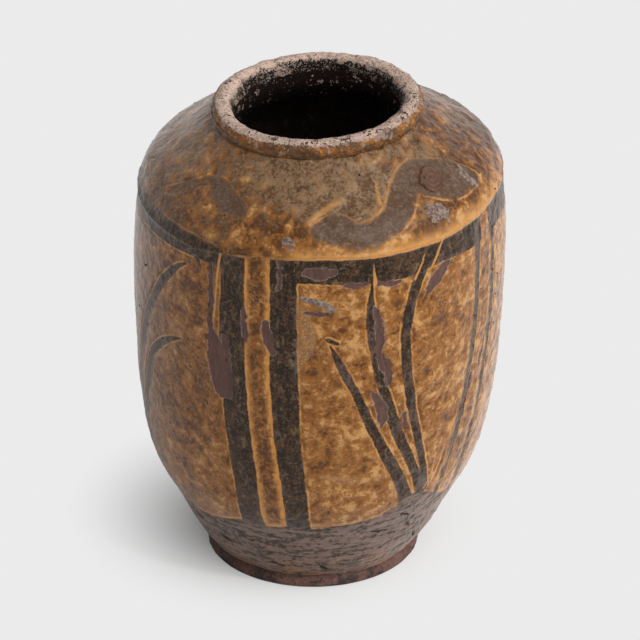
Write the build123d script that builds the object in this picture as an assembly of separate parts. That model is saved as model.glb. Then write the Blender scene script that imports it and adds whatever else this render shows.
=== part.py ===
from build123d import *
from math import atan2, cos, degrees, hypot, radians, sin
import os

os.makedirs("parts", exist_ok=True)

# A stoneware storage jar with a broad shoulder, millimetres, standing on Z = 0.
# Turns are degrees about Z: 0 faces -Y, and they grow towards +X.

# Foot and base
foot_radius = 85.5
foot_width = 13.5
foot_height = 9
foot_lower_round = 2.5
foot_upper_round = 1.5
floor_thickness = 14

# Outer line of the glazed body
notch_inset = 1
notch_rise = 2.5
belly_radius = 150
ridge_inset = 3
ridge_height = 337
shoulder_rise = 58

# Clay and coats
wall_thickness = 9
coat_thickness = 1.2
lining_thickness = 1
lap_height = 7

# Mouth
throat_radius = 68
throat_length = 30
throat_lip_width = 5
neck_width = 15.5
rim_overhang = 1.9
rim_rise = 12
rim_lip_round = 4
rim_glaze_thickness = 0.9
rim_glaze_height = 6
rim_glaze_drop = 1
rim_glaze_inset = 2

# Bands of slip round the body
foot_band_top = 77
ridge_band_depth = 21
groove_width = 1.2

# Upright stripes, in pairs with an amber strip between them
stripe_width = 21
strip_width = 21
stripe_lean = 14
stripe_bend_height = 190
pair_turns = (-20, 63, 158, 250)

# Reed tufts, rooted in the foot band: fans at front and back, arches at the sides
fan_turns = (30, 208)
fan_width = 90
arch_turns = (295, 115)
arch_width = 84
blade_width = 9
root_width = 15
root_dip = 5

# Scrolls on the shoulder
scroll_turns = (22, 117, 204, 291)
scroll_span = 52
scroll_width = 28

# Round scar that a stacking pad left on the shoulder
scar_turn = 50
scar_reach_share = 0.54
scar_radius = 10.6
scar_height = 1.5

# One overrun for every cut
overrun = 20

# The wall line from notch to ridge: share of its height, then share of its swell
wall_shares = (
    (0, 0),
    (0.055, 0.2),
    (0.145, 0.435),
    (0.27, 0.75),
    (0.43, 0.905),
    (0.59, 0.97),
    (0.75, 1),
    (0.88, 0.99),
)
lower_joint = 3
upper_joint = 5

# The shoulder line from ridge to neck: share of the way in, then share of the rise
shoulder_shares = (
    (0, 0),
    (0.04, 0.14),
    (0.14, 0.31),
    (0.32, 0.47),
    (0.54, 0.63),
    (0.78, 0.82),
    (1, 1),
)

# Where round ends have points, in degrees from one side to the other
round_end_angles = (30, 60, 90, 120, 150)

# A stripe's sway half way down its lean, and how far a groove runs past a blade's tip
stripe_sway_share = 0.33
tip_groove_share = 4

# Blades of each tuft: three points along the middle and the tip, as shares of the
# tuft's width and height
fan_root_share = 0.23
fan_shares = (
    ((-0.2, 0.31), (-0.45, 0.53), (-0.62, 0.66), (-0.75, 0.77)),
    ((0.02, 0.29), (-0.24, 0.53), (-0.37, 0.73), (-0.39, 0.97)),
    ((0.13, 0.32), (0, 0.53), (-0.07, 0.77), (0.2, 1)),
)
arch_root_share = -0.42
arch_shares = (
    ((-0.34, 0.32), (-0.2, 0.58), (0.07, 0.81), (0.54, 0.97)),
    ((-0.26, 0.27), (-0.1, 0.46), (0.14, 0.6), (0.52, 0.68)),
    ((-0.46, 0.31), (-0.5, 0.53), (-0.56, 0.73), (-0.66, 0.89)),
)

# Middle of a scroll: share of its span, share of the way from neck to ridge, and
# share of its greatest width there
scroll_shares = (
    (-0.46, 0.86, 0.4),
    (-0.27, 0.86, 0.5),
    (-0.04, 0.84, 0.54),
    (0.15, 0.76, 0.6),
    (0.31, 0.62, 0.7),
    (0.48, 0.5, 0.86),
    (0.67, 0.49, 1),
    (0.81, 0.57, 0.76),
)

# Sizes that follow from the ones above
base_radius = foot_radius - foot_width
notch_radius = foot_radius - notch_inset
notch_height = foot_height + notch_rise
ridge_radius = belly_radius - ridge_inset
neck_radius = throat_radius + neck_width
neck_height = ridge_height + shoulder_rise
rim_radius = neck_radius + rim_overhang
rim_height = neck_height + rim_rise
throat_low = rim_height - rim_lip_round - throat_length
ridge_band_low = ridge_height - ridge_band_depth
root_height = foot_band_top - root_dip
tuft_height = ridge_band_low - root_height
far_radius = belly_radius + overrun
cavity_depth = coat_thickness + wall_thickness
half_pair = strip_width / 2 + stripe_width
ridge_place = len(wall_shares)


def body_line():
    """Points of the glazed surface from the notch over the ridge to the neck."""
    line = []
    for rise, swell in wall_shares:
        radius = notch_radius + swell * (belly_radius - notch_radius)
        line.append((radius, notch_height + rise * (ridge_height - notch_height)))
    for way, rise in shoulder_shares:
        radius = ridge_radius + way * (neck_radius - ridge_radius)
        line.append((radius, ridge_height + rise * (neck_height - ridge_height)))
    return line


def moved_in(line, depth):
    """The same line, each point moved into the clay square to the line."""
    last = len(line) - 1
    moved = []
    for place, (radius, height) in enumerate(line):
        before = line[max(place - 1, 0)]
        after = line[min(place + 1, last)]
        run = after[0] - before[0]
        rise = after[1] - before[1]
        along = hypot(run, rise)
        moved.append((radius - depth * rise / along, height + depth * run / along))
    return moved


def turned(edges):
    """A solid of revolution from edges that close an outline in the XZ plane."""
    return revolve(Face(Wire(edges)), Axis.Z)


def upright(points):
    """Points of the XZ plane from pairs of radius and height."""
    return [(radius, 0, height) for radius, height in points]


def polygon_turned(*corners):
    """A solid of revolution with straight sides."""
    return turned(Polyline(*upright(corners), close=True).edges())


def filled_body(depth, bottom):
    """The whole jar below its neck as one lump, its skin moved in by a depth."""
    line = moved_in(body_line(), depth)
    wall = upright(line[: ridge_place + 1])
    shoulder = upright(line[ridge_place:])
    start = wall[0]
    end = shoulder[-1]
    return turned(
        [
            Line((0, 0, bottom), (start[0], 0, bottom)),
            Line((start[0], 0, bottom), start),
            Spline(*wall),
            Spline(*shoulder),
            Line(end, (0, 0, end[2])),
            Line((0, 0, end[2]), (0, 0, bottom)),
        ]
    )


def column(radius, low, high):
    """A round column about the axis between two heights."""
    return polygon_turned((0, low), (radius, low), (radius, high), (0, high))


def below_joint(place):
    """Everything below the lapped joint at one point of the body line."""
    radius, height = moved_in(body_line(), coat_thickness + wall_thickness / 2)[place]
    outer = height - lap_height / 2
    inner = height + lap_height / 2
    return polygon_turned(
        (0, -overrun),
        (far_radius, -overrun),
        (far_radius, outer),
        (radius, outer),
        (radius, inner),
        (0, inner),
    )


def facing(turn):
    """An upright plane through the axis that looks outward at a turn."""
    angle = radians(turn)
    return Plane(
        origin=(0, 0, 0),
        x_dir=(cos(angle), sin(angle), 0),
        z_dir=(sin(angle), -cos(angle), 0),
    )


def outward(turn, outline):
    """A prism that carries an outline from the axis out through the wall."""
    plane = facing(turn)
    return extrude(plane * outline, far_radius, dir=plane.z_dir)


def outline_face(edges):
    """A flat outline, as a sketch, from edges that close."""
    return Sketch() + Face(Wire(edges))


def stripe_outline(left, right):
    """A hand-drawn upright stripe that leans over below its bend."""
    top = ridge_band_low + overrun
    foot = foot_band_top - overrun
    half_way = (stripe_bend_height + foot) / 2
    sway = stripe_lean * stripe_sway_share
    sides = []
    for edge in (left, right):
        sides.append(
            (
                (edge, top),
                (edge, stripe_bend_height),
                (edge + sway, half_way),
                (edge + stripe_lean, foot),
            )
        )
    return outline_face(
        [
            Spline(*sides[0]),
            Line(sides[0][-1], sides[1][-1]),
            Spline(*sides[1][::-1]),
            Line(sides[1][0], sides[0][0]),
        ]
    )


def sides(path):
    """Points left and right of a path of places, each with its half width."""
    left = []
    right = []
    last = len(path) - 1
    for place, (x, y, half) in enumerate(path):
        before = path[max(place - 1, 0)]
        after = path[min(place + 1, last)]
        run = after[0] - before[0]
        rise = after[1] - before[1]
        along = hypot(run, rise)
        left.append((x - half * rise / along, y + half * run / along))
        right.append((x + half * rise / along, y - half * run / along))
    return left, right


def heading(start, end):
    """The direction from one place to another, one unit long."""
    run = end[0] - start[0]
    rise = end[1] - start[1]
    along = hypot(run, rise)
    return run / along, rise / along


def blade_outline(root, middle, spread):
    """One leaf blade, made wider all round by a spread."""
    half = blade_width / 2 + spread
    path = [(*root, root_width / 2 + spread)] + [(x, y, half) for x, y in middle]
    left, right = sides(path)
    before = heading(path[-3], path[-2])
    last = heading(path[-2], path[-1])
    past_tip = spread * tip_groove_share
    tip = (
        path[-1][0] + past_tip * (last[0] + (last[0] - before[0]) / 2),
        path[-1][1] + past_tip * (last[1] + (last[1] - before[1]) / 2),
    )
    return outline_face(
        [
            Line(left[0], right[0]),
            Spline(*right[:-1], tip),
            Spline(tip, *left[-2::-1]),
        ]
    )


def tuft(turn, shares, root_share, width, spread):
    """Prisms of a tuft's blades, joined where they leave the foot band."""
    root = (root_share * width, root_height - overrun)
    prisms = Part()
    for blade in shares:
        middle = [(across * width, root_height + up * tuft_height) for across, up in blade]
        prisms += outward(turn, blade_outline(root, middle, spread))
    return prisms


def round_end(place, facing_out):
    """Points round a path's end, from its left side to its right side."""
    x, y, half = place
    run, rise = facing_out
    points = []
    for angle in round_end_angles:
        ahead = half * sin(radians(angle))
        across = half * cos(radians(angle))
        points.append((x + ahead * run - across * rise, y + ahead * rise + across * run))
    return points


def scroll_outline(turn, spread):
    """A scroll with round ends seen from above, made wider all round by a spread."""
    path = []
    for across, way, width in scroll_shares:
        angle = radians(turn + across * scroll_span)
        radius = neck_radius + way * (ridge_radius - neck_radius)
        half = width * scroll_width / 2 + spread
        path.append((radius * sin(angle), -radius * cos(angle), half))
    left, right = sides(path)
    start = round_end(path[0], heading(path[1], path[0]))
    end = round_end(path[-1], heading(path[-2], path[-1]))
    middle = len(end) // 2
    return outline_face(
        [
            Spline(*start[middle:], *left, *end[: middle + 1]),
            Spline(*end[middle:], *right[::-1], *start[: middle + 1]),
        ]
    )


def rim_section(coat_depth):
    """The rolled rim's section, its bore straight and its crest round."""
    crest = (throat_radius + rim_radius) / 2
    bulge = (neck_height + rim_height) / 2
    inner_foot = (throat_radius, 0, neck_height)
    inner_top = (throat_radius, 0, rim_height - rim_lip_round)
    outer_foot = (neck_radius + coat_depth, 0, neck_height)
    roll = Spline(
        inner_top,
        (crest, 0, rim_height + coat_depth),
        (rim_radius + coat_depth, 0, bulge),
        outer_foot,
        tangents=((0, 0, 1), (-1, 0, -1)),
    )
    return Face(Wire([Line(inner_foot, inner_top), roll, Line(outer_foot, inner_foot)]))


def outer_edge(ring, place):
    """One of a ring's two outermost edges, lowest first."""
    circles = ring.edges().filter_by(GeomType.CIRCLE)
    outermost = circles.sort_by(SortBy.RADIUS)[-2:]
    return outermost.sort_by(Axis.Z)[place]


def turn_of(shape):
    """The turn at which a shape's middle lies, 0 to 360."""
    centre = shape.center()
    return degrees(atan2(centre.X, -centre.Y)) % 360


def export(name, shape):
    """Write one named piece."""
    shape.label = name
    export_step(shape, f"parts/{name}.step")


# Filled lumps and columns that the pieces are cut from
glazed = filled_body(0, foot_height)
clay = filled_body(coat_thickness, foot_height)
cavity = filled_body(cavity_depth, floor_thickness)
lined_cavity = filled_body(cavity_depth + lining_thickness, floor_thickness + lining_thickness)
bore = column(throat_radius, ridge_height, rim_height + overrun)
neck_core = column(neck_radius, ridge_height, neck_height)
throat_ring = polygon_turned(
    (throat_radius, throat_low),
    (throat_radius + throat_lip_width, throat_low),
    (neck_radius, (throat_low + neck_height) / 2),
    (throat_radius, neck_height),
)
throat_sleeve = throat_ring & cavity

# Clay members: a slab base in a foot ring, then wall rings that lap at their joints
base_disc = column(base_radius, 0, floor_thickness)
export("base_disc", base_disc)

foot_ring = column(foot_radius, 0, foot_height) - column(base_radius, 0, foot_height)
foot_ring = fillet(outer_edge(foot_ring, 0), foot_lower_round)
foot_ring = fillet(outer_edge(foot_ring, 1), foot_upper_round)
export("foot_ring", foot_ring)

shell = clay - cavity - neck_core - base_disc
below_lower_joint = below_joint(lower_joint)
below_upper_joint = below_joint(upper_joint)
below_ridge_joint = below_joint(ridge_place)
export("lower_wall", shell & below_lower_joint)
export("middle_wall", (shell & below_upper_joint) - below_lower_joint)
export("upper_wall", (shell & below_ridge_joint) - below_upper_joint)
export("shoulder_slab", shell - below_ridge_joint)
export("neck_collar", (neck_core - cavity) + throat_sleeve - bore)

# Rolled rim with the glaze that is left on its outside
rim_roll = revolve(rim_section(0), Axis.Z)
rim_glaze_low = neck_height + rim_glaze_drop
rim_glaze_zone = column(far_radius, rim_glaze_low, rim_glaze_low + rim_glaze_height)
rim_glaze_zone -= column(neck_radius - rim_glaze_inset, 0, rim_height + overrun)
rim_glaze = revolve(rim_section(rim_glaze_thickness), Axis.Z) - rim_roll
export("rim_roll", rim_roll)
export("rim_glaze", rim_glaze & rim_glaze_zone)

# Dark slip that lines the inside, up to the throat's sleeve
export("inner_slip", cavity - lined_cavity - bore - throat_sleeve)

# Bands of dark slip round the foot and under the ridge
coat = glazed - clay - neck_core
field = coat & column(far_radius, foot_band_top, ridge_band_low)
export("foot_slip_band", coat & column(far_radius, foot_height, foot_band_top))
export("ridge_slip_band", coat & column(far_radius, ridge_band_low, ridge_height))

# Dark stripes and tufts on the wall, each with a groove between it and the amber glaze
quarter_names = ("front", "right", "back", "left")
amber_low = foot_band_top + groove_width
amber = field & column(far_radius, amber_low, ridge_band_low - groove_width)
half_strip = strip_width / 2
stripes = (("first", -half_pair, -half_strip), ("second", half_strip, half_pair))
for name, turn in zip(quarter_names, pair_turns):
    for side, left, right in stripes:
        export(f"{name}_{side}_stripe", field & outward(turn, stripe_outline(left, right)))
        grooved = stripe_outline(left - groove_width, right + groove_width)
        amber -= outward(turn, grooved)

fan = (fan_shares, fan_root_share, fan_width)
arch = (arch_shares, arch_root_share, arch_width)
tufts = (
    ("front", fan_turns[0], fan),
    ("right", arch_turns[1], arch),
    ("back", fan_turns[1], fan),
    ("left", arch_turns[0], arch),
)
for name, turn, kind in tufts:
    export(f"{name}_reed_tuft", field & tuft(turn, *kind, 0))
    amber -= tuft(turn, *kind, groove_width)

# Amber glaze: a strip inside each pair of stripes and a panel after each pair
strip_turn = degrees(strip_width / belly_radius)
for place, (name, turn) in enumerate(zip(quarter_names, pair_turns)):
    next_turn = pair_turns[(place + 1) % len(pair_turns)]
    strips = []
    panels = []
    for piece in amber.solids():
        past = (turn_of(piece) - turn) % 360
        if min(past, 360 - past) < strip_turn:
            strips.append(piece)
        elif past < (next_turn - turn) % 360 - strip_turn:
            panels.append(piece)
    export(f"{name}_amber_strip", Compound(children=strips))
    export(f"{name}_amber_panel", Compound(children=panels))

# Shoulder: dark scrolls let into the glaze, and the scar on top
shoulder_glaze = coat & column(far_radius, ridge_height, neck_height)
shoulder_coat = shoulder_glaze
for name, turn in zip(quarter_names, scroll_turns):
    scroll = extrude(scroll_outline(turn, 0), rim_height, dir=(0, 0, 1))
    export(f"{name}_shoulder_scroll", shoulder_coat & scroll)
    shoulder_glaze -= extrude(scroll_outline(turn, groove_width), rim_height, dir=(0, 0, 1))
export("shoulder_glaze", shoulder_glaze)

scar_angle = radians(scar_turn)
scar_reach = neck_radius + scar_reach_share * (ridge_radius - neck_radius)
scar_place = (scar_reach * sin(scar_angle), -scar_reach * cos(scar_angle), neck_height)
scar_column = Pos(*scar_place) * Cylinder(scar_radius, 2 * (neck_height - ridge_height))
export("pad_scar", (filled_body(-scar_height, foot_height) - glazed) & scar_column)
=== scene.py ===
import math
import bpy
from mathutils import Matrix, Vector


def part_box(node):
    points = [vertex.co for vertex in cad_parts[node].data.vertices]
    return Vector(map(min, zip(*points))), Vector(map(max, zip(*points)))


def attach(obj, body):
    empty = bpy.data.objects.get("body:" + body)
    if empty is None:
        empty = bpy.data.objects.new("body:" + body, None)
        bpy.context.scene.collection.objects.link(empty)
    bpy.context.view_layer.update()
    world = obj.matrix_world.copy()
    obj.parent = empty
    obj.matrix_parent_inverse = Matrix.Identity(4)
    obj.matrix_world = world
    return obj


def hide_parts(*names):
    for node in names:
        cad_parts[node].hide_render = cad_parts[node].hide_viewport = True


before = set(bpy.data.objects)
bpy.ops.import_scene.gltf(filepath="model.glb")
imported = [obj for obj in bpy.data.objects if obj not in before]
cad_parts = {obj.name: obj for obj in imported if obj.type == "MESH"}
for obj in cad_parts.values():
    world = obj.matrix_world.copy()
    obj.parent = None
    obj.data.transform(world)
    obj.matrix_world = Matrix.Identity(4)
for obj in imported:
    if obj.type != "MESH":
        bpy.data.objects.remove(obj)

from types import SimpleNamespace

import bmesh
import bpy
import numpy as np
from bpy.props import FloatProperty, FloatVectorProperty, IntProperty, PointerProperty
from mathutils import Vector

bl_info = {
    "name": "Stoneware storage jar",
    "version": (1, 0, 0),
    "blender": (4, 5, 0),
    "location": "View3D > Sidebar > Jar",
    "description": "Dresses a storage jar in clay, slip and amber glaze",
    "category": "Add Mesh",
}

MM = 0.001

# Places read from the frame, in metres
BASE_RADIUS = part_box("base_disc")[1].x
BAND_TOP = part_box("foot_slip_band")[1].z
RIDGE_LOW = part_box("ridge_slip_band")[0].z
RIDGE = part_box("ridge_slip_band")[1].z
RIDGE_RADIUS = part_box("shoulder_glaze")[1].x
BELLY_RADIUS = -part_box("left_amber_panel")[0].x
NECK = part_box("neck_collar")[1].z
NECK_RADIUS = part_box("neck_collar")[1].x
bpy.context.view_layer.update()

# Outline sizes that the frame has no box for
NOTCH_RADIUS = 84.5 * MM
NOTCH_HEIGHT = 11.5 * MM

# Step along the outline, and the soft bead that the ridge ends in
PROFILE_STEP = 0.2 * MM
RIDGE_BLUR_REACH = 4 * MM
RIDGE_BEAD = 1.1 * MM
RIDGE_BEAD_REACH = 2.2 * MM

# The wall line from notch to ridge: share of its height, share of its swell
WALL_SHARES = (
    (0, 0), (0.055, 0.2), (0.145, 0.435), (0.27, 0.75), (0.43, 0.905), (0.59, 0.97),
    (0.75, 1), (0.88, 0.99), (1, 0.954),
)

# The shoulder line from ridge to neck: share of the way in, share of the rise
SHOULDER_SHARES = (
    (0, 0), (0.04, 0.14), (0.14, 0.31), (0.32, 0.47), (0.54, 0.63), (0.78, 0.82), (1, 1),
)

# How far the fired jar leans to the right: height, then shift, in millimetres
LEAN = ((0, 0), (40, 0.4), (100, 1.6), (200, 4.1), (300, 5.9), (339, 5.9), (400, 3.2))

# How far the ridge stands off its mean height: turn in degrees, then millimetres
RIDGE_LIFT = (
    (-180, 2), (-110, -6), (-68, -8.5), (-43, -8), (-29, -3.5), (-16, 1), (0, 2.4),
    (16, 1), (40, 1), (55, 4), (70, 6.5), (110, 7), (180, 2),
)
RIDGE_LIFT_START = 180 * MM
RIM_TILT = 0.041
RIM_TILT_START = 350 * MM

# Stripe pairs in degrees: turn of the middle of each, how far its foot is drawn sideways,
# and factors on the pair's spread and on the width of its stripes
QUARTERS = ("front", "right", "back", "left")
PAIR_TURNS = (-20, 63, 158, 250)
PAIR_DRIFTS = (5.5, -10, 5, 6)
PAIR_SPREADS = (1, 0.62, 1, 1)
PAIR_WIDTHS = (1, 0.3, 1, 1)
PAIR_HALF_SPAN = 14
# How much of a pair's drift is reached at each height in millimetres
DRIFT_SHARES = ((12, 1.12), (80, 1), (100, 0.95), (143, 0.66), (181, 0.36), (241, 0.09), (300, 0))

# Grids of the coats and of the clay rings
COLUMNS = 900
ROW_STEP = 1.05 * MM
BACK_STEP = 4
BACK_DEPTH = 2.2 * MM
FOOT_COLUMNS = 600
RIM_COLUMNS = 720
CLAY_STEP = 0.9 * MM

# How far the clay lies under its coats
COAT_DEPTH = 1.2 * MM

# Sections of the foot ring and of the rim: radius and height in millimetres
FOOT_SECTION = (
    (BASE_RADIUS / MM, 0), (83.2, 0), (84.9, 1), (85.8, 2.8), (85.7, 5), (85.2, 7),
    (84.2, 8.6), (83, 9.6), (82.6, 11.4), (BASE_RADIUS / MM, 11.4),
)
RIM_THROAT = ((68, 392.5), (68, 397))
RIM_ROLL = (
    (68, 402), (70, 405.2), (73.5, 407), (77.5, 407.2), (81.5, 405.8), (84.4, 402.8),
    (85.4, 399), (84.6, 395.6), (83, 393.4),
)
RIM_SEAT = ((80, 392.5),)
RIM_TRACE = ((84.9, 395.4), (85.8, 398.6), (85.5, 401), (84.6, 400.6), (84.2, 396))

# The foot ring stays flat below this height
FOOT_FLAT = 0.3 * MM

# The stacking pad's scar: its radius, how deep its back lies in millimetres, and its grid
SCAR_RADIUS = 11.6 * MM
SCAR_SINK = 1.5
SCAR_RINGS = 20
SCAR_SPOKES = 72

# The bed that crumbs are sown on, and their least and greatest scale
CRUMB_LOW = 225 * MM
CRUMB_NECK_GAP = 8 * MM
CRUMB_BED_ROWS = 40
CRUMB_BED_TURN = 4
CRUMB_LEAST = (0.45, 0.45, 0.45)
CRUMB_MOST = (1.6, 1.3, 1.0)

# What the relief is given besides its seed and its material
RELIEF_INPUTS = (
    "Swell Depth", "Swell Size", "Dimple Depth", "Dimple Size", "Pit Depth", "Pit Size",
    "Groove Depth", "Slip Sink", "Bare Sink", "Crust Rise", "Edge Wobble",
)
GASH_DEPTH = 1.3 * MM

# Turns noise, which keeps near one half, into a swing of about one each way
NOISE_SPAN = 3.6

# Noise fields: size of a cell in millimetres, detail, roughness, seed and distortion
GLAZE_NOISES = {
    "broad": (46, 3, 0.55, 1),
    "middle": (9, 3, 0.55, 2, 0.8),
    "grain": (2.2, 4, 0.65, 3),
    "dust": (0.9, 2, 0.6, 4),
    "spots": (3.4, 3, 0.6, 18, 0.4),
    "dark": (5, 3, 0.6, 8),
    "pits": (2.6, 3, 0.6, 21),
    "crackled": (24, 2, 0.5, 15),
    "flecks": (3, 3, 0.65, 9),
    "greyed": (19, 3, 0.55, 16),
    "banded": (4.5, 4, 0.65, 17, 0.5),
    "broken": (14, 3, 0.6, 12),
}
RIM_NOISES = {
    "broad": (26, 3, 0.55, 5),
    "middle": (7, 4, 0.65, 6, 0.5),
    "grain": (1.8, 3, 0.6, 7),
}
GLAZE_SHINE = 0.17
GLAZE_SHEEN = {"Sheen Weight": 0.3, "Sheen Roughness": 0.45, "Sheen Tint": (1, 0.86, 0.8)}

# Camera: the point that it looks at, the way towards it, its distance and its lens
CAMERA_RISE = math.radians(28.8)
CAMERA_TARGET = Vector((5.69, 0, 202.4)) * MM
CAMERA_WAY = Vector((0, -math.cos(CAMERA_RISE), math.sin(CAMERA_RISE)))
CAMERA_DISTANCE = 9
CAMERA_LENS = 622.9

# Lamps: name, the way it shines from, angle in degrees, strength, tint
LAMPS = (
    ("key", (0.95, -0.7, 1.4), 50, 1.35, (1, 0.985, 0.96)),
    ("spark", (0.55, -0.72, 1), 5, 0.7, (1, 1, 1)),
    ("side", (1, -0.1, 0.2), 40, 0.45, (1, 0.97, 0.96)),
)

# Light from all round and how far it leans to the right, and where the floor takes shadow
AMBIENT = 0.5
AMBIENT_SLANT = 0.95
FLOOR_REACH = 20
SHADOW_MIDDLE = (-22 * MM, 40 * MM, 0)
SHADOW_REACH = (40 * MM, 190 * MM)

# Depth of a point that is near no stroke, and how many degrees past its ends a stroke counts
OUTSIDE = -50.0
STROKE_MARGIN = 12

# Slip strokes on the wall: turn in degrees, height and half width in millimetres.
# The turns of a pair's stripes are counted from the middle of the pair.
STRIPE_STROKES = (
    ((-8.3, 345, 10.2), (-8.3, 298, 10.8), (-8.2, 241, 11.2), (-8.3, 195, 11), (-8.2, 165, 10.8),
     (-8.2, 143, 10.6), (-8.6, 113, 10), (-8.9, 72, 9.8)),
    ((8.2, 345, 10.4), (8.5, 298, 11), (8.5, 243, 11.4), (8.3, 210, 11.2), (8.1, 172, 10.6),
     (8.2, 133, 10), (8.4, 107, 9.6), (8.6, 72, 9.4)),
)
THIN_STRIPE_STROKE = ((-16.2, 326, 2.6), (-16, 299, 2.4), (-15.8, 272, 2), (-16, 258, 1.6))
# Degrees from the middle of a pair to the middle of a stripe
STRIPE_MIDDLE = 8.3
FAN_STROKES = (
    ((3.4, 260.5, 1), (5.4, 249, 2.6), (7.6, 236, 3.2), (12, 213, 3.6), (15.8, 188, 3.8),
     (19.4, 169, 4.2), (22.8, 152, 4.6), (26.2, 136, 5), (30.2, 116, 5.6), (34, 94, 6.4)),
    ((16.3, 315, 0.6), (15.8, 296, 2.8), (16, 272, 4.2), (17.2, 254, 4.2), (18.8, 233, 4.2),
     (20.6, 215, 4.4), (23.6, 190, 4.8), (27.2, 166, 4.6), (31.4, 144, 4.2), (35.8, 120, 4),
     (39.8, 96, 4)),
    ((36.4, 331, 5.4), (32.4, 313, 5.2), (29.4, 293, 4.6), (27.6, 266, 4.6), (27.9, 243, 4.4),
     (29.2, 215, 4.3), (31.2, 189, 4), (34, 162, 3.6), (37, 136, 3.2), (40.6, 104, 3.6)),
)
ARCH_STROKES = (
    ((-46.6, 310, 0.8), (-50.5, 303, 2.6), (-57, 285, 3.8), (-63.2, 260, 4.4), (-68.5, 236, 4.6),
     (-72, 213, 4.8), (-76, 180, 5), (-79, 140, 5.6), (-80, 95, 7.5)),
    ((-47.6, 241, 0.5), (-52, 236, 2), (-57.8, 226, 3), (-64.6, 208, 3.8), (-68.4, 182, 4.2),
     (-72.4, 155, 4.6), (-76.5, 120, 5.6), (-80, 92, 8)),
    ((-96, 296, 0.8), (-92, 268, 3.2), (-88, 232, 4.2), (-85.5, 190, 4.6), (-84, 150, 5),
     (-82.5, 95, 7)),
)
SPOT_STROKE = ((2.6, 266.3, 1.5), (5.4, 262.6, 1.8))
# The front tuft and its copy at the back, and the left tuft and its copy on the right
FAN_TURNS = (0, 178)
ARCH_TURNS = (0, 180)

# Edges of the slip bands: turn in degrees, height in millimetres
FOOT_BAND_EDGE = (
    (-180, 74), (-120, 71), (-80, 82), (-59, 70), (-46, 66), (-35, 74), (-29, 78), (-19, 75.5),
    (-11, 79), (0, 77), (16, 83), (24, 86), (30, 93), (34, 101), (38, 103), (42, 99), (47, 92),
    (-11, 79), (0, 77), (16, 83), (24, 86), (30, 93), (34, 101), (38, 103), (42, 99), (47, 92),
    (54, 84), (70, 75), (110, 74), (180, 74),
)
RIDGE_BAND_EDGE = (
    (-180, 316), (-68, 317), (-43, 320), (-30, 318), (-6, 316.5), (15, 314), (28, 313),
    (40, 317), (60, 316), (180, 316),
)
# How far the ridge's slip reaches past it onto the shoulder: turn, then millimetres
RIDGE_TOP_EDGE = (
    (-180, 4), (-120, 9), (-70, 10), (-44, 8), (-34, 3), (-29, -2.2), (96, -2.2), (120, 2),
    (180, 4),
)
# Half the gap, in degrees, that a strip leaves in the band under the ridge
STRIP_GATE_SPAN = 4.1

# Scrolls on the shoulder: turn in degrees, radius and half width in millimetres
SCROLL_STROKE = (
    (-0.2, 137.2, 5.6), (6.2, 134.4, 9.6), (12.3, 138.6, 6.4), (18, 138, 6.8), (24.5, 133.9, 8.4),
    (30.9, 125.8, 10.4), (36.2, 116.2, 9.8), (40.7, 111.6, 10), (46.2, 113.8, 13.6),
    (53, 120.5, 15.6), (59.5, 125, 13.6), (65, 131, 7.6), (67.5, 134.5, 4.5),
)
# Turns of the four scrolls, and how many millimetres each is thinned
SCROLL_TURNS = (0, 95, 182, 269)
SCROLL_FADE = (0, 1.5, 1.5, 7.5)

# Bare clay where the coat has flaked off the wall: turn, height and half width
BARE_STROKES = (
    ((-36.6, 318, 1.6), (-36.2, 300, 2.2), (-35.7, 286, 1.8), (-36, 270, 2.4), (-35.4, 262, 3),
     (-34.6, 254, 5), (-33.8, 246, 7.4), (-33.2, 238, 10), (-32.4, 228, 9.8), (-31.8, 218, 8.8),
     (-31.1, 209, 8)),
    ((-30.4, 257, 3), (-29.9, 240, 3.6), (-29.5, 222, 4), (-29.2, 206, 4.6)),
    ((-24.2, 290, 1.2), (-24, 276, 2.2), (-23.3, 264, 2.8), (-23.6, 258, 1)),
    ((-17, 278, 2), (-16.4, 271, 4.2), (-15.8, 264, 4.8), (-14.9, 256, 3.6), (-14.5, 250, 1.5)),
    ((-13, 333, 0.8), (-12.6, 322, 1.8), (-13, 311, 1.2)),
    ((-44, 320, 0.8), (-41.6, 318, 1.6), (-40.6, 314, 1)),
    ((-3.6, 326, 4), (0.4, 324.4, 5.2), (4, 326, 3.4)),
    ((7.5, 313.8, 1.2), (11, 312.8, 2), (14.8, 313.6, 1)),
    ((18.6, 312.4, 1.4), (22, 310.8, 2.8), (25.3, 310.8, 1.4)),
    ((16.9, 293, 1), (18, 284, 3), (18.7, 270, 3.8), (19.2, 260, 3.8), (18.6, 252, 2.8)),
    ((19.5, 246, 3.2), (21, 238, 4.4), (22.2, 229, 4.4), (22.2, 219, 1.8)),
    ((16.8, 214, 1.6), (18.6, 206, 4.4), (20.3, 196, 4.4), (20.9, 186, 3.8), (20.7, 180, 1.8)),
    ((28.3, 187, 2.2), (29.1, 175, 1.8)),
    ((33.8, 290, 1), (36, 299, 3.8), (38.5, 304.5, 5.4), (41, 311, 4.8), (43.8, 314.5, 2)),
    ((-4.6, 290.5, 1.4), (0, 289.8, 1.8), (3, 288.5, 1.2)),
    ((64, 240, 1), (64.4, 228, 1.8), (62.8, 212, 1.6), (61, 200, 0.8)),
    ((57.5, 200, 0.8), (56.2, 190, 1.8), (54.6, 176, 1.6), (53.6, 168, 0.6)),
    ((104, 246, 2), (107, 232, 4.4), (108, 214, 4), (107, 204, 2)),
    ((150, 262, 1.6), (151, 246, 4), (149, 228, 4.6), (150, 214, 2)),
    ((203, 190, 1.6), (205, 176, 4), (204, 160, 2.2)),
    ((226, 282, 1.8), (229, 268, 4), (228, 254, 2)),
    ((262, 236, 1.4), (263, 220, 4), (262, 200, 3.4), (263, 186, 1.4)),
)

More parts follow.
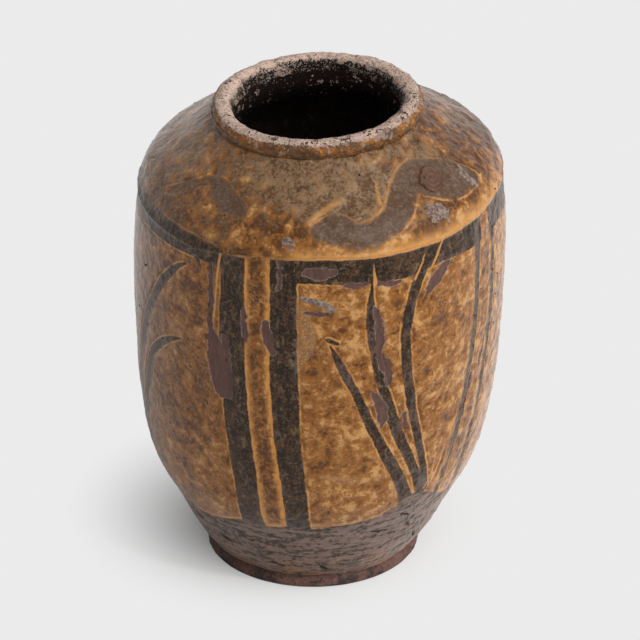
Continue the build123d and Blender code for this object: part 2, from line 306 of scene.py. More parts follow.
# Gold ticks of scratched glaze, worn outlines, and the matt crackled glaze by a stripe; along the
# right pair's first stripe the matt glaze greys the slip as a painted sheen
GOLD_STROKES = (
    ((-32.4, 336, 1.4), (-33.2, 326, 1.2), (-33.8, 312, 1), (-34.2, 292, 0.9), (-34.4, 272, 0.5)),
    ((16.9, 331, 0.3), (17, 322, 0.9), (17.3, 314, 1.9)),
    ((41.5, 336, 0.7), (40.3, 330, 1), (39, 324, 1.2), (37.3, 317, 1)),
    ((30.6, 310, 1), (32.2, 316, 0.9), (33.6, 323, 0.8), (34.5, 329, 0.4)),
    ((43, 108, 0.9), (45.4, 126, 0.7), (47, 147, 0.2)),
    ((44.6, 104, 0.9), (49, 124, 0.7), (51, 142, 0.2)),
    ((46, 101, 0.8), (53, 108, 0.7), (58, 118, 0.2)),
    ((40.6, 103, 0.6), (42.6, 120, 0.7), (42.6, 138, 0.2)),
)
SHOULDER_GOLD_STROKES = (
    ((25.8, 105.3, 0.3), (24.7, 113.3, 1), (24, 119.8, 1.3), (24.3, 124.5, 1.2)),
    ((12.2, 132.8, 0.2), (16.1, 131.8, 0.6), (20.6, 128.5, 1.2), (24.5, 124.6, 1.6),
     (28.4, 115.6, 1), (32.6, 107.8, 0.8), (40, 100.4, 0.6), (46.9, 98.5, 0.2)),
    ((-3.4, 131, 1.2), (0.3, 124.5, 1.8), (4.5, 118.8, 2.2), (10.1, 114.6, 0.4)),
)
FADED_STROKES = (
    ((-34.6, 334, 5), (-36, 300, 6), (-38, 262, 7), (-38.5, 236, 6), (-36, 214, 4)),
    ((-5.8, 296, 4), (-4.5, 272, 7), (-4, 250, 7), (-5.4, 234, 4)),
    ((63, 330, 17), (61, 250, 17), (58, 170, 16), (54, 110, 15)),
    ((-48, 326, 3), (-60, 322, 5), (-90, 320, 6)),
)
MATTE_STROKES = (
    ((-6.4, 294, 3), (-4.6, 284, 6), (-3.8, 274, 7.6), (-4.2, 262, 7.6), (-5.6, 249, 5.4),
     (-7, 236, 3)),
    # Along the right pair's first stripe: it greys the slip as a painted sheen, and makes it matt
    ((57.9, 330, 3), (57.8, 298, 3.6), (57, 241, 3.6), (54.3, 181, 3.6), (51.3, 143, 3.4),
     (48.4, 100, 3)),
    ((38, 116, 3), (40.5, 112, 5), (44, 108, 5), (47, 104, 3)),
    ((2, 136, 2), (8, 132, 4), (13, 130, 2)),
)

# Grey crust on the wall, and grey scars on the shoulder (turn, radius, half width)
CRUST_STROKES = (
    ((-5.2, 303.4, 2), (-1.8, 301, 3.4), (1.4, 298.6, 3.6), (4.4, 293.5, 2.4)),
)
SHOULDER_CRUST_STROKES = (
    ((65.9, 120.6, 1.2), (63.8, 130, 2.8), (64.7, 136.6, 3.4)),
    ((41, 136.5, 5), (45.2, 138.4, 5)),
    ((-11.6, 142.5, 2.8), (-9, 143, 1.8)),
)

# Cuts in the foot band, made before firing: turn, height and half width
GASH_STROKES = (
    ((23.5, 65, 0.9), (27, 63, 1.4), (31, 62, 0.6)),
    ((34.6, 79, 0.8), (37, 76, 1.5), (39, 73.5, 0.7)),
    ((41, 62.5, 0.8), (42.6, 58.5, 1.3), (44, 56, 0.7)),
    ((-20.5, 27, 0.8), (-17.5, 24.5, 1.8), (-14.5, 24, 0.9)),
    ((2, 29, 0.6), (5, 24, 1.3), (6.5, 21, 0.8)),
    ((50.5, 44, 0.6), (52.5, 38, 1.1), (54.5, 34, 0.6)),
    ((-62, 58, 0.8), (-58, 55, 1.6), (-55, 54, 0.8)),
    ((-44.5, 45, 0.8), (-42, 41, 1.4), (-40, 39, 0.7)),
    ((96, 52, 0.8), (101, 49, 1.6), (105, 48, 0.8)),
    ((170, 38, 0.8), (176, 35, 1.5), (181, 34, 0.8)),
    ((238, 60, 0.8), (242, 56, 1.6), (246, 54, 0.8)),
)


def fired(red, green, blue):
    """A colour from the screen values 0 to 255, as the shaders want it."""
    def linear(value):
        share = value / 255
        return share / 12.92 if share <= 0.04045 else ((share + 0.055) / 1.055) ** 2.4
    return (linear(red), linear(green), linear(blue))


BACKGROUND = fired(235, 235, 235)


def length(name, description, default):
    """A length property with its default in millimetres."""
    return FloatProperty(
        name=name, description=description, default=default * MM, unit="LENGTH")


def colour(name, description, red, green, blue):
    """A colour property with its default in screen values."""
    return FloatVectorProperty(
        name=name, description=description, subtype="COLOR", min=0, max=1,
        default=fired(red, green, blue))


class JarSizes(bpy.types.PropertyGroup):
    """Depths and sizes of the jar's surface."""

    swell_depth: length("Swell Depth", "How far the wall strays from a true round", 0.7)
    swell_size: length("Swell Size", "Size of one swelling of the wall", 55)
    dimple_depth: length("Dimple Depth", "Depth of the dimples in the glaze", 0.62)
    dimple_size: length("Dimple Size", "Size of one dimple", 8.5)
    pit_depth: length("Pit Depth", "Depth of the fine pits", 0.2)
    pit_size: length("Pit Size", "Size of one fine pit", 2.6)
    groove_depth: length("Groove Depth", "Depth of the scratched line round the drawing", 0.5)
    slip_sink: length("Slip Sink", "How far the slip lies below the glaze", 0.35)
    bare_sink: length("Bare Sink", "How far bare clay lies below the glaze", 0.75)
    crust_rise: length("Crust Rise", "How far a crust stands up", 0.9)
    edge_wobble: length("Edge Wobble", "How far a drawn edge strays", 0.8)
    crumb_count: IntProperty(
        name="Crumb Count", description="Kiln crumbs that were sown on the jar", default=150)
    crumb_size: length("Crumb Size", "Radius of a middling kiln crumb", 0.8)
    seed: IntProperty(name="Seed", description="Seed of every random draw", default=7)


class JarColours(bpy.types.PropertyGroup):
    """Colours of clay, slip and glaze."""

    amber_deep: colour("Deep Amber", "Glaze where it lies thick", 82, 46, 14)
    amber: colour("Amber", "Glaze of middling thickness", 138, 87, 34)
    # Pale amber is also the colour of the painted highlights on the glaze's high spots
    amber_pale: colour("Pale Amber", "Glaze on high spots", 188, 141, 86)
    gold: colour("Gold", "Glaze over the scratched lines", 207, 141, 66)
    slip_deep: colour("Deep Slip", "Slip where it is darkest", 19, 10, 4)
    slip: colour("Slip", "Slip under a thin glaze", 68, 44, 24)
    slip_pale: colour("Pale Slip", "Flecks in the slip", 130, 104, 72)
    slip_grey: colour("Grey Slip", "Slip where its glaze has gone matt", 104, 86, 80)
    matte: colour("Matt Glaze", "Crackled matt glaze", 178, 134, 88)
    band: colour("Band", "Slip on the foot", 122, 100, 90)
    olive: colour("Olive", "Greyed glaze on the shoulder", 136, 112, 84)
    olive_deep: colour("Deep Olive", "Greyed glaze where it is darkest", 84, 58, 36)
    bare: colour("Bare Clay", "Clay under the flaked coat", 96, 69, 62)
    crust: colour("Crust", "Grey crust", 140, 126, 116)
    rim_clay: colour("Rim Clay", "Unglazed clay of the rim", 208, 181, 165)
    rim_slip: colour("Rim Slip", "Slip left on the rim", 52, 38, 34)
    foot_clay: colour("Foot Clay", "Unglazed clay of the foot", 118, 86, 76)
    inside: colour("Inside", "Slip inside the jar", 72, 60, 54)
    scroll: colour("Scroll", "Slip of the scrolls under thick glaze", 96, 74, 58)
    scar: colour("Scar", "Fired scar of the stacking pad", 100, 66, 42)


def colours():
    """The jar's colours as plain tuples, each under its own name."""
    hues = bpy.context.scene.jar_colours
    return SimpleNamespace(**{name: tuple(getattr(hues, name))
                              for name in JarColours.__annotations__})


def toned(hue, factor):
    """A colour made darker or lighter by a factor."""
    return tuple(part * factor for part in hue)


# ---------------------------------------------------------------- lines and the fired form

def smooth(points, per=30):
    """Points of a smooth line through the given ones."""
    path = np.array(points, float)
    path = np.vstack((2 * path[0] - path[1], path, 2 * path[-1] - path[-2]))
    share = np.linspace(0, 1, per, endpoint=False)[:, None]
    runs = []
    for before, start, end, after in zip(path, path[1:], path[2:], path[3:]):
        runs.append(0.5 * (
            2 * start + (end - before) * share
            + (2 * before - 5 * start + 4 * end - after) * share ** 2
            + (3 * start - before - 3 * end + after) * share ** 3))
    runs.append(path[-2:-1])
    return np.vstack(runs)


def path_lengths(line):
    """The length of a line up to each of its points."""
    return np.concatenate(((0,), np.cumsum(np.hypot(*np.diff(line, axis=0).T))))


def smoothstep(values, low, high):
    """0 below low, 1 above high, smooth between."""
    share = np.clip((values - low) / (high - low), 0, 1)
    return share * share * (3 - 2 * share)


def swell(values, reach):
    """1 where the values are zero, fading to nothing past the reach."""
    return np.exp(-(values / reach) ** 2)


def blurred(values, spread):
    """Values along a line, each averaged with its neighbours."""
    reach = int(spread * 3)
    weights = np.exp(-0.5 * (np.arange(-reach, reach + 1) / spread) ** 2)
    padded = np.pad(values, reach, mode="edge")
    return np.convolve(padded, weights / weights.sum(), mode="valid")


class Profile:
    """The jar's outer line from the notch to the neck, by path length in metres."""

    def __init__(self):
        rise = RIDGE - NOTCH_HEIGHT
        out = BELLY_RADIUS - NOTCH_RADIUS
        wall = [(NOTCH_RADIUS + wide * out, NOTCH_HEIGHT + up * rise) for up, wide in WALL_SHARES]
        cone = [(RIDGE_RADIUS + inward * (NECK_RADIUS - RIDGE_RADIUS),
                 RIDGE + up * (NECK - RIDGE)) for inward, up in SHOULDER_SHARES]
        line = np.vstack((smooth(wall)[:-1], smooth(cone)))
        lengths = path_lengths(line)
        self.path = np.arange(0, lengths[-1], PROFILE_STEP)
        self.height = np.interp(self.path, lengths, line[:, 1])
        radius = np.interp(self.path, lengths, line[:, 0])
        self.ridge = np.interp(RIDGE, line[:, 1], lengths)
        radius += swell(self.path - self.ridge, RIDGE_BLUR_REACH) * (blurred(radius, 6) - radius)
        radius += RIDGE_BEAD * swell(self.path - self.ridge, RIDGE_BEAD_REACH)
        self.radius = radius
        out = blurred(np.gradient(self.height), 4)
        up = -blurred(np.gradient(radius), 4)
        size = np.hypot(out, up)
        self.out = out / size
        self.up = up / size

    def at(self, path):
        """Radius, height and the outward direction's two parts at a path length."""
        return tuple(np.interp(path, self.path, values)
                     for values in (self.radius, self.height, self.out, self.up))

    def to(self, height):
        """The path length at a height."""
        return np.interp(height, self.height, self.path)


PROFILE = Profile()


def turned_points(radius, turn, height):
    """Points at a turn in degrees: 0 faces -Y, and turns grow towards +X."""
    angle = np.radians(turn)
    return np.stack((radius * np.sin(angle), -radius * np.cos(angle), height), axis=-1)


def edge_at(turn, edge):
    """The height of an edge at each turn, in metres."""
    places, heights = np.array(edge).T
    return np.interp((turn + 180) % 360 - 180, places, heights) * MM


def lift_of(turn, height):
    """How far the ridge and the rim stand off their mean height, in metres."""
    share = smoothstep(height, RIDGE_LIFT_START, RIDGE) * (1 - smoothstep(height, RIDGE, NECK))
    return edge_at(turn, RIDGE_LIFT) * share


def uneven(points):
    """Points of the round form, moved as the fired jar strays from it."""
    x, y, height = np.array(points, float).T
    turn = np.degrees(np.arctan2(x, -y))
    tilt = RIM_TILT * x * smoothstep(height, RIM_TILT_START, NECK)
    lean = np.interp(height, *(np.array(LEAN).T * MM))
    return np.stack((x + lean, y, height + lift_of(turn, height) + tilt), axis=-1)


# ---------------------------------------------------------------- the drawing, in millimetres

def turn_gap(turn, other):
    """Degrees from one turn to another, the short way round."""
    return (other - turn + 180) % 360 - 180


def fine(stroke):
    """A stroke with a smooth middle line."""
    return smooth(stroke, 5).tolist()


def carried(stroke, by):
    """A stroke carried round the jar by some degrees."""
    return [(turn + by, height, half) for turn, height, half in stroke]


def segment_depth(ax, ay, bx, by, first_half, last_half):
    """Depth of the origin in a tapering segment."""
    dx = bx - ax
    dy = by - ay
    share = np.clip(-(ax * dx + ay * dy) / np.maximum(dx * dx + dy * dy, 1e-6), 0, 1)
    half = first_half + share * (last_half - first_half)
    return half - np.hypot(ax + share * dx, ay + share * dy)


def wall_stroke(turn, height, radius, stroke):
    """How deep each point lies in a stroke on the wall; negative outside it."""
    reached = PROFILE.to(height) / MM
    depth = np.full(turn.shape, OUTSIDE)
    for start, end in zip(stroke, stroke[1:]):
        ax, bx = (np.radians(turn_gap(turn, point[0])) * radius / MM for point in (start, end))
        ay, by = (PROFILE.to(point[1] * MM) / MM - reached for point in (start, end))
        depth = np.maximum(depth, segment_depth(ax, ay, bx, by, start[2], end[2]))
    return depth


def wall_depth(strokes, turn, height, radius):
    """Depth in the deepest of some strokes on the wall."""
    depth = np.full(turn.shape, OUTSIDE)
    for stroke in strokes:
        places = [point[0] for point in stroke]
        middle = (min(places) + max(places)) / 2
        reach = (max(places) - min(places)) / 2 + STROKE_MARGIN
        near = np.abs(turn_gap(turn, middle)) < reach
        depth[near] = np.maximum(
            depth[near], wall_stroke(turn[near], height[near], radius[near], stroke))
    return depth


def plan_depth(strokes, turn, radius, shift=0):
    """Depth in the deepest of some strokes on the shoulder, seen from above."""
    x = radius / MM * np.sin(np.radians(turn))
    y = -radius / MM * np.cos(np.radians(turn))
    depth = np.full(turn.shape, OUTSIDE)
    for stroke in strokes:
        ends = [(r * math.sin(math.radians(t)), -r * math.cos(math.radians(t)), half)
                for t, r, half in carried(stroke, shift)]
        for start, end in zip(ends, ends[1:]):
            depth = np.maximum(depth, segment_depth(
                start[0] - x, start[1] - y, end[0] - x, end[1] - y, start[2], end[2]))
    return depth


def drift_at(height):
    """The share of a pair's drift at a height in millimetres."""
    return np.interp(height, *np.array(DRIFT_SHARES).T)


def drawn_strokes():
    """Every slip stroke on the wall, in true turns."""
    strokes = [fine(carried(THIN_STRIPE_STROKE, PAIR_TURNS[0]))]
    for pair, drift, spread, width in zip(PAIR_TURNS, PAIR_DRIFTS, PAIR_SPREADS, PAIR_WIDTHS):
        for stroke in STRIPE_STROKES:
            strokes.append(fine([
                (pair + offset * spread + drift * float(drift_at(height)), height, half * width)
                for offset, height, half in stroke]))
    for table, turns in ((FAN_STROKES, FAN_TURNS), (ARCH_STROKES, ARCH_TURNS)):
        strokes += [fine(carried(stroke, by)) for by in turns for stroke in table]
    return strokes + [carried(SPOT_STROKE, by) for by in FAN_TURNS]


def past_ridge(turn, path):
    """How far each point lies below the upper edge of the ridge's slip."""
    return (PROFILE.ridge - path) / MM + edge_at(turn, RIDGE_TOP_EDGE) / MM


def wall_drawing(turn, path, radius, height, true_height):
    """Depth in the slip on the wall."""
    depth = wall_depth(drawn_strokes(), turn, true_height, radius)
    depth = np.maximum(depth, (edge_at(turn, FOOT_BAND_EDGE) - height) / MM)
    below = past_ridge(turn, path)
    ridge_band = np.minimum((true_height - edge_at(turn, RIDGE_BAND_EDGE)) / MM, below)
    for pair, spread in zip(PAIR_TURNS, PAIR_SPREADS):
        gate = np.radians(np.abs(turn_gap(turn, pair)) - STRIP_GATE_SPAN * spread) * radius / MM
        ridge_band = np.minimum(ridge_band, gate)
    return np.where(depth > ridge_band, np.minimum(depth, below), ridge_band)


def shoulder_drawing(turn, path, radius):
    """Depth in the slip of the scrolls and of what the ridge's slip reaches."""
    depth = np.maximum(np.full(turn.shape, OUTSIDE), past_ridge(turn, path))
    for shift, fade in zip(SCROLL_TURNS, SCROLL_FADE):
        depth = np.maximum(depth, plan_depth((fine(SCROLL_STROKE),), turn, radius, shift) - fade)
    return depth


def strip_of(turn, height):
    """1 between the middles of a pair's two stripes, 0 elsewhere."""
    inside = np.zeros(turn.shape)
    for pair, drift, spread in zip(PAIR_TURNS, PAIR_DRIFTS, PAIR_SPREADS):
        middle = pair + drift * drift_at(height / MM)
        inside[np.abs(turn_gap(turn, middle)) < STRIPE_MIDDLE * spread] = 1
    return inside


def veil_of(turn, inward):
    """How far the glaze is greyed: all round the neck and on the left of the shoulder. It is greyed
    less on the right of the shoulder, which darkens it there as painted shade.
    """
    front = swell(turn_gap(turn, 8), 46)
    right = swell(turn_gap(turn, 95), 42)
    # Less grey on the right of the shoulder: painted shade
    shoulder = 0.3 + smoothstep(inward, 8, 60) * (0.26 + 0.4 * front) - 0.34 * right
    return np.where(inward > 1, shoulder, 0.05)


def painted_shade_of(turn, inward):
    """How much painted shade darkens the glaze: on the left, most of all by the ridge, and on the
    shoulder, most of all on its right.
    """
    left = 0.5 - 0.5 * np.cos(np.radians(turn_gap(turn, 52)))
    right = 0.5 + 0.5 * np.cos(np.radians(turn_gap(turn, 80)))
    return (left * (0.85 + 0.4 * swell(inward - 10, 32))
            + smoothstep(inward, 4, 26) * (0.25 + 1.15 * right))


def store(mesh, values, directions):
    """Keep named numbers and the outward direction on a mesh's points."""
    for name, numbers in values.items():
        layer = mesh.attributes.new(name, "FLOAT", "POINT")
        layer.data.foreach_set("value", np.ascontiguousarray(numbers, np.float32))
    layer = mesh.attributes.new("outward", "FLOAT_VECTOR", "POINT")
    layer.data.foreach_set("vector", np.ascontiguousarray(directions, np.float32).ravel())


def paint(mesh, turn, path, radius, height, on_face, directions):
    """Store what the relief and the colours read at each point."""
    true_height = height + lift_of(turn, height)
    inward = (path - PROFILE.ridge) / MM
    on_cone = path > PROFILE.ridge

    def on_wall(strokes, shoulder=OUTSIDE):
        return np.where(on_cone, shoulder, wall_depth(strokes, turn, true_height, radius))

    # The golden part of the ridge, towards the viewer: partly glaze worn thin, partly a painted
    # highlight where the light catches the ridge
    lit_front = (smoothstep(turn_gap(-16, turn), 0, 12)
              * (1 - smoothstep(turn_gap(82, turn), -16, 8)))
    soft = smoothstep(inward, 0, 3) * smoothstep(-past_ridge(turn, path), -3, 3)
    lined = 1 - soft * (1 - (0.12 + 0.88 * lit_front * (1 - 0.75 * smoothstep(inward, 26, 40))))
    lined = lined * (1 - 0.85 * smoothstep(on_wall(FADED_STROKES), -3, 3))
    lined = lined * (1 - 0.8 * (1 - lit_front) * swell(inward, 5))
    store(mesh, {
        "glow": swell(np.maximum(inward, 0), 6.5) * lit_front * (inward > -3),
        "soft": soft,
        "lined": lined,
        "drawing": np.where(on_cone, shoulder_drawing(turn, path, radius),
                            wall_drawing(turn, path, radius, height, true_height)),
        "bare": on_wall(BARE_STROKES),
        "crust": on_wall(CRUST_STROKES, plan_depth(SHOULDER_CRUST_STROKES, turn, radius)),
        "gash": on_wall(GASH_STROKES),
        "tick": on_wall(GOLD_STROKES, plan_depth(map(fine, SHOULDER_GOLD_STROKES), turn, radius)),
        "matte": on_wall(MATTE_STROKES),
        "strip": strip_of(turn, height) * ~on_cone,
        "aged": painted_shade_of(turn, inward),
        "rugged": 0.42 + 0.58 * (0.5 + 0.5 * np.cos(np.radians(turn_gap(turn, 60)))),
        "band": np.clip((edge_at(turn, FOOT_BAND_EDGE) - height) / (8 * MM) + 0.5, 0, 1),
        "ridge_line": np.abs(inward) + 6 * (1 - lit_front),
        "veil": veil_of(turn, inward),
        "relief_share": on_face,
    }, directions)


# ---------------------------------------------------------------- meshes

def new_piece(name, points, faces):
    """A mesh object in the scene."""
    mesh = bpy.data.meshes.new(name)
    mesh.from_pydata(np.asarray(points).tolist(), [], faces)
    mesh.validate()
    piece = bpy.data.objects.new(name, mesh)
    bpy.context.scene.collection.objects.link(piece)
    return piece


def finished(piece, material, slot, *nodes):
    """Give a piece its material and the nodes that it stands for; the slot is not used."""
    mesh = piece.data
    mesh.materials.clear()
    mesh.materials.append(material)
    mesh.polygons.foreach_set("use_smooth", [True] * len(mesh.polygons))
    mesh.set_sharp_from_angle(angle=math.radians(62))
    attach(piece, "root")
    if nodes:
        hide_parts(*nodes)
    return piece


def wrapped(grid):
    """A grid of point numbers with its first column again at the end."""
    return np.hstack((grid, grid[:, :1]))


def quads(grid):
    """The four-sided faces of a grid of point numbers."""
    faces = np.stack((grid[:-1, :-1], grid[:-1, 1:], grid[1:, 1:], grid[1:, :-1]), -1)
    return faces.reshape(-1, 4).tolist()


def edge_faces(edge, back, flip):
    """The faces that close a coat along one edge."""
    faces = []
    for place in range(len(back) - 1):
        near = edge[place * BACK_STEP:(place + 1) * BACK_STEP + 1].tolist()
        loop = near + [int(back[place + 1]), int(back[place])]
        faces.append(loop[::-1] if flip else loop)
    return faces


def rows_between(low, high):
    """Path lengths of a coat's rows from one height to another."""
    start = PROFILE.to(low)
    end = PROFILE.to(high) if high < NECK else PROFILE.path[-1]
    count = max(1, round((end - start) / ROW_STEP / BACK_STEP)) * BACK_STEP
    return np.linspace(start, end, count + 1)


def coat(name, low, high, first=0, last=COLUMNS):
    """A closed thin shell on the jar between two heights and two columns."""
    path = rows_between(low, high)
    ring = last - first == COLUMNS
    turns = np.arange(first, last if ring else last + 1) * 360 / COLUMNS
    points = []
    kept = []
    for rows, places, depth in (
            (path, turns, 0), (path[::BACK_STEP], turns[::BACK_STEP], BACK_DEPTH)):
        turn = np.tile(places, len(rows))
        radius, height, out, up, reached = (
            np.repeat(values, len(places)) for values in (*PROFILE.at(rows), rows))
        points.append(turned_points(radius - depth * out, turn, height - depth * up))
        share = np.full(turn.shape, 0.0 if depth else 1.0)
        kept.append((turn, reached, radius, height, share, turned_points(out, turn, up)))
    outer = np.arange(len(points[0])).reshape(len(path), -1)
    back = len(points[0]) + np.arange(len(points[1])).reshape(len(path[::BACK_STEP]), -1)
    if ring:
        outer = wrapped(outer)
        back = wrapped(back)
    faces = quads(outer) + [[a, d, c, b] for a, b, c, d in quads(back)]
    faces += edge_faces(outer[0], back[0], True) + edge_faces(outer[-1], back[-1], False)
    if not ring:
        faces += edge_faces(outer[:, 0], back[:, 0], False)
        faces += edge_faces(outer[:, -1], back[:, -1], True)
    piece = new_piece(name, uneven(np.vstack(points)), faces)
    paint(piece.data, *(np.concatenate(parts) for parts in zip(*kept)))
    return piece


def clay_ring(name, section, columns, keep_below=None):
    """A closed ring of rough clay from its section, points of radius and height.

    Below the height keep_below, where one is given, the ring gets no relief.
    """
    line = np.vstack((section, section[:1]))
    lengths = path_lengths(line)
    count = int(lengths[-1] / CLAY_STEP)
    places = np.arange(count) * lengths[-1] / count
    radius = np.interp(places, lengths, line[:, 0])
    height = np.interp(places, lengths, line[:, 1])
    out = np.roll(height, -1) - np.roll(height, 1)
    up = np.roll(radius, 1) - np.roll(radius, -1)
    size = np.hypot(out, up)
    turn = np.tile(np.arange(columns) * 360 / columns, count)
    radius, height, out, up = (
        np.repeat(values, columns) for values in (radius, height, out / size, up / size))
    grid = np.arange(count * columns).reshape(count, columns)
    grid = wrapped(np.vstack((grid, grid[:1])))
    piece = new_piece(name, uneven(turned_points(radius, turn, height)), quads(grid))
    ones = np.ones(turn.shape)
    share = ones
    if keep_below is not None:
        share = smoothstep(height, keep_below, keep_below + 2.5 * MM)
    far = dict.fromkeys(("drawing", "bare", "crust", "gash"), OUTSIDE * ones)
    store(piece.data, {
        **far, "faces_out": out, "faces_up": up, "relief_share": share, "rugged": ones,
    }, turned_points(out, turn, up))
    return piece


def clay_copy(node, sink):
    """A CAD node's mesh as the fired jar bends it, drawn in a little under its coat."""
    mesh = bpy.data.objects[node].data.copy()
    mesh.name = node
    work = bmesh.new()
    work.from_mesh(mesh)
    bmesh.ops.remove_doubles(work, verts=work.verts, dist=0.01 * MM)
    work.normal_update()
    points = np.array([vert.co[:] for vert in work.verts])
    normals = np.array([vert.normal[:] for vert in work.verts])
    reach = np.maximum(np.hypot(points[:, 0], points[:, 1]), MM)
    outward = (points[:, 0] * normals[:, 0] + points[:, 1] * normals[:, 1]) / reach
    points[:, :2] *= (1 - sink * np.clip(outward, 0, 1) / reach)[:, None]
    for vert, place in zip(work.verts, uneven(points)):
        vert.co = place
    work.to_mesh(mesh)
    work.free()
    piece = bpy.data.objects.new(f"{node}_clay", mesh)
    bpy.context.scene.collection.objects.link(piece)
    return piece


# ---------------------------------------------------------------- node trees

class Value:
    """An output in a node tree, which adds and multiplies as a number does."""

    def __init__(self, wires, socket):
        self.wires = wires
        self.socket = socket

    def math(self, operation, first, second):
        return self.wires.value("ShaderNodeMath", {0: first, 1: second}, operation=operation)

    def __add__(self, other):
        return self.math("ADD", self, other)

    def __radd__(self, other):
        return self.math("ADD", other, self)

    def __sub__(self, other):
        return self.math("SUBTRACT", self, other)

    def __rsub__(self, other):
        return self.math("SUBTRACT", other, self)

    def __mul__(self, other):
        return self.math("MULTIPLY", self, other)

    def __truediv__(self, other):
        return self.math("DIVIDE", self, other)

    def __rtruediv__(self, other):
        return self.math("DIVIDE", other, self)

    def most(self, other):
        """The larger of two values."""
        return self.math("MAXIMUM", self, other)

    def step(self, low, high, bottom=0, top=1):
        """bottom below low, top above high, smooth between."""
        return self.wires.value("ShaderNodeMapRange", {
            "Value": self, "From Min": low, "From Max": high, "To Min": bottom, "To Max": top,
        }, interpolation_type="SMOOTHSTEP")

    def hump(self, low, high, soft):
        """1 between low and high, 0 outside."""
        return self.math("MINIMUM", self.step(low - soft, low + soft),
                         self.step(high + soft, high - soft))

    def swing(self, reach):
        """Noise around one half, turned to about plus and minus reach."""
        return (self - 0.5) * NOISE_SPAN * reach

    def mix(self, first, second):
        """From the first colour to the second, by this share."""
        return self.wires.value(
            "ShaderNodeMix", {0: self, 6: first, 7: second}, 2, data_type="RGBA")

    def noise(self, size, detail, rough, seed=0, distortion=0):
        """Noise around one half at this place; size is the length of one cell in metres."""
        return self.wires.value("ShaderNodeTexNoise", {
            "Vector": self, "W": seed, "Scale": 1 / size, "Detail": detail, "Roughness": rough,
            "Distortion": distortion}, noise_dimensions="4D")

    def cell_edges(self, size):
        """How far this place is from the edge of its cell."""
        return self.wires.value(
            "ShaderNodeTexVoronoi", {"Vector": self, "Scale": 1 / size}, "Distance",
            feature="DISTANCE_TO_EDGE")

    def squeezed(self, *ways):
        """This place, with each way stretched or squeezed for streaks."""
        return self.wires.value("ShaderNodeVectorMath", {0: self, 1: ways}, operation="MULTIPLY")

    def part(self, axis):
        """One part of this place: 0, 1 or 2 for X, Y or Z."""
        return self.wires.value("ShaderNodeSeparateXYZ", {0: self}, axis)


class Wiring:
    """Short ways to add and join the nodes of a tree."""

    def __init__(self, tree):
        self.tree = tree

    def put(self, socket, value):
        """Link a socket to a value of the tree, or set it to a plain one."""
        if isinstance(value, Value):
            self.tree.links.new(value.socket, socket)
        elif socket.type == "RGBA":
            socket.default_value = (*value[:3], 1)
        else:
            socket.default_value = value

    def node(self, kind, inputs=None, **settings):
        """A new node, with its inputs by name or number."""
        node = self.tree.nodes.new(kind)
        for name, value in settings.items():
            setattr(node, name, value)
        for socket, value in (inputs or {}).items():
            self.put(node.inputs[socket], value)
        return node

    def value(self, kind, inputs=None, output=0, **settings):
        """An output of a new node."""
        return Value(self, self.node(kind, inputs, **settings).outputs[output])

    def read(self, name, kind="FLOAT"):
        """A named value of the mesh, in a geometry tree."""
        return self.value("GeometryNodeInputNamedAttribute", {"Name": name}, "Attribute",
                          data_type=kind)

    def seen(self, name):
        """A named value of the mesh, in a shader."""
        return self.value("ShaderNodeAttribute", output="Fac", attribute_name=name)


def new_tree(name, labels):
    """A geometry tree's wires and its inputs: numbers by label, a seed and a material."""
    tree = bpy.data.node_groups.new(name, "GeometryNodeTree")
    for label, kind in (("Geometry", "Geometry"), *((label, "Float") for label in labels),
                        ("Seed", "Float"), ("Material", "Material")):
        tree.interface.new_socket(label, in_out="INPUT", socket_type=f"NodeSocket{kind}")
    tree.interface.new_socket("Geometry", in_out="OUTPUT", socket_type="NodeSocketGeometry")
    wires = Wiring(tree)
    source = wires.node("NodeGroupInput")
    return wires, {socket.name: Value(wires, socket) for socket in source.outputs}


def close_tree(wires, geometry, material):
    """End a tree with real instances and its material."""
    real = wires.value("GeometryNodeRealizeInstances", {0: geometry})
    coated = wires.value("GeometryNodeSetMaterial", {"Geometry": real, "Material": material})
    wires.node("NodeGroupOutput", {0: coated})
    return wires.tree


def relief_tree():
    """The tree that dimples, scratches and flakes a coat."""
    if "kiln relief" in bpy.data.node_groups:
        return bpy.data.node_groups["kiln relief"]
    wires, given = new_tree("kiln relief", RELIEF_INPUTS)
    place = wires.value("GeometryNodeInputPosition")
    seed = given["Seed"]
    wobble = given["Edge Wobble"]
    drawn = wires.read("drawing") + (
        place.noise(14 * MM, 2, 0.5, seed).swing(wobble)
        + place.noise(4 * MM, 3, 0.6, seed).swing(wobble) * 0.45) / MM
    torn = place.noise(6 * MM, 4, 0.65, seed + 3).swing(2.6)
    flaked = wires.read("bare") + torn
    crust = wires.read("crust") + torn
    gash = wires.read("gash") + torn * 0.25
    swelling = place.noise(given["Swell Size"], 1, 0.4, seed).swing(given["Swell Depth"])
    dimples = place.noise(given["Dimple Size"], 1, 0.45, seed + 5, 0.35).swing(
        given["Dimple Depth"]) * wires.read("rugged")
    pits = place.noise(given["Pit Size"], 2, 0.55, seed + 7).swing(given["Pit Depth"])
    risen = (crust.step(-0.8, 0.9) * given["Crust Rise"]
             * (0.5 + place.noise(2.2 * MM, 2, 0.6, seed)))
    local = (dimples + pits + risen
             - drawn.hump(-2.6, -0.9, 0.7) * given["Groove Depth"]
             - drawn.step(-0.7, 0.5) * given["Slip Sink"]
             - flaked.step(-0.45, 0.35) * given["Bare Sink"]
             - gash.step(-0.6, 0.4) * GASH_DEPTH)
    along = wires.value("ShaderNodeVectorMath", {
        0: wires.read("outward", "FLOAT_VECTOR"),
        "Scale": (local + swelling) * wires.read("relief_share")}, operation="SCALE")
    geometry = given["Geometry"]
    for label, value in (("drawn", drawn), ("flaked", flaked), ("crusted", crust),
                         ("gashed", gash), ("relief", (dimples + pits) / MM)):
        geometry = wires.value("GeometryNodeStoreNamedAttribute", {
            "Geometry": geometry, "Name": label, "Value": value,
        }, "Geometry", data_type="FLOAT", domain="POINT")
    moved = wires.value("GeometryNodeSetPosition", {"Offset": along, "Geometry": geometry})
    return close_tree(wires, moved, given["Material"])


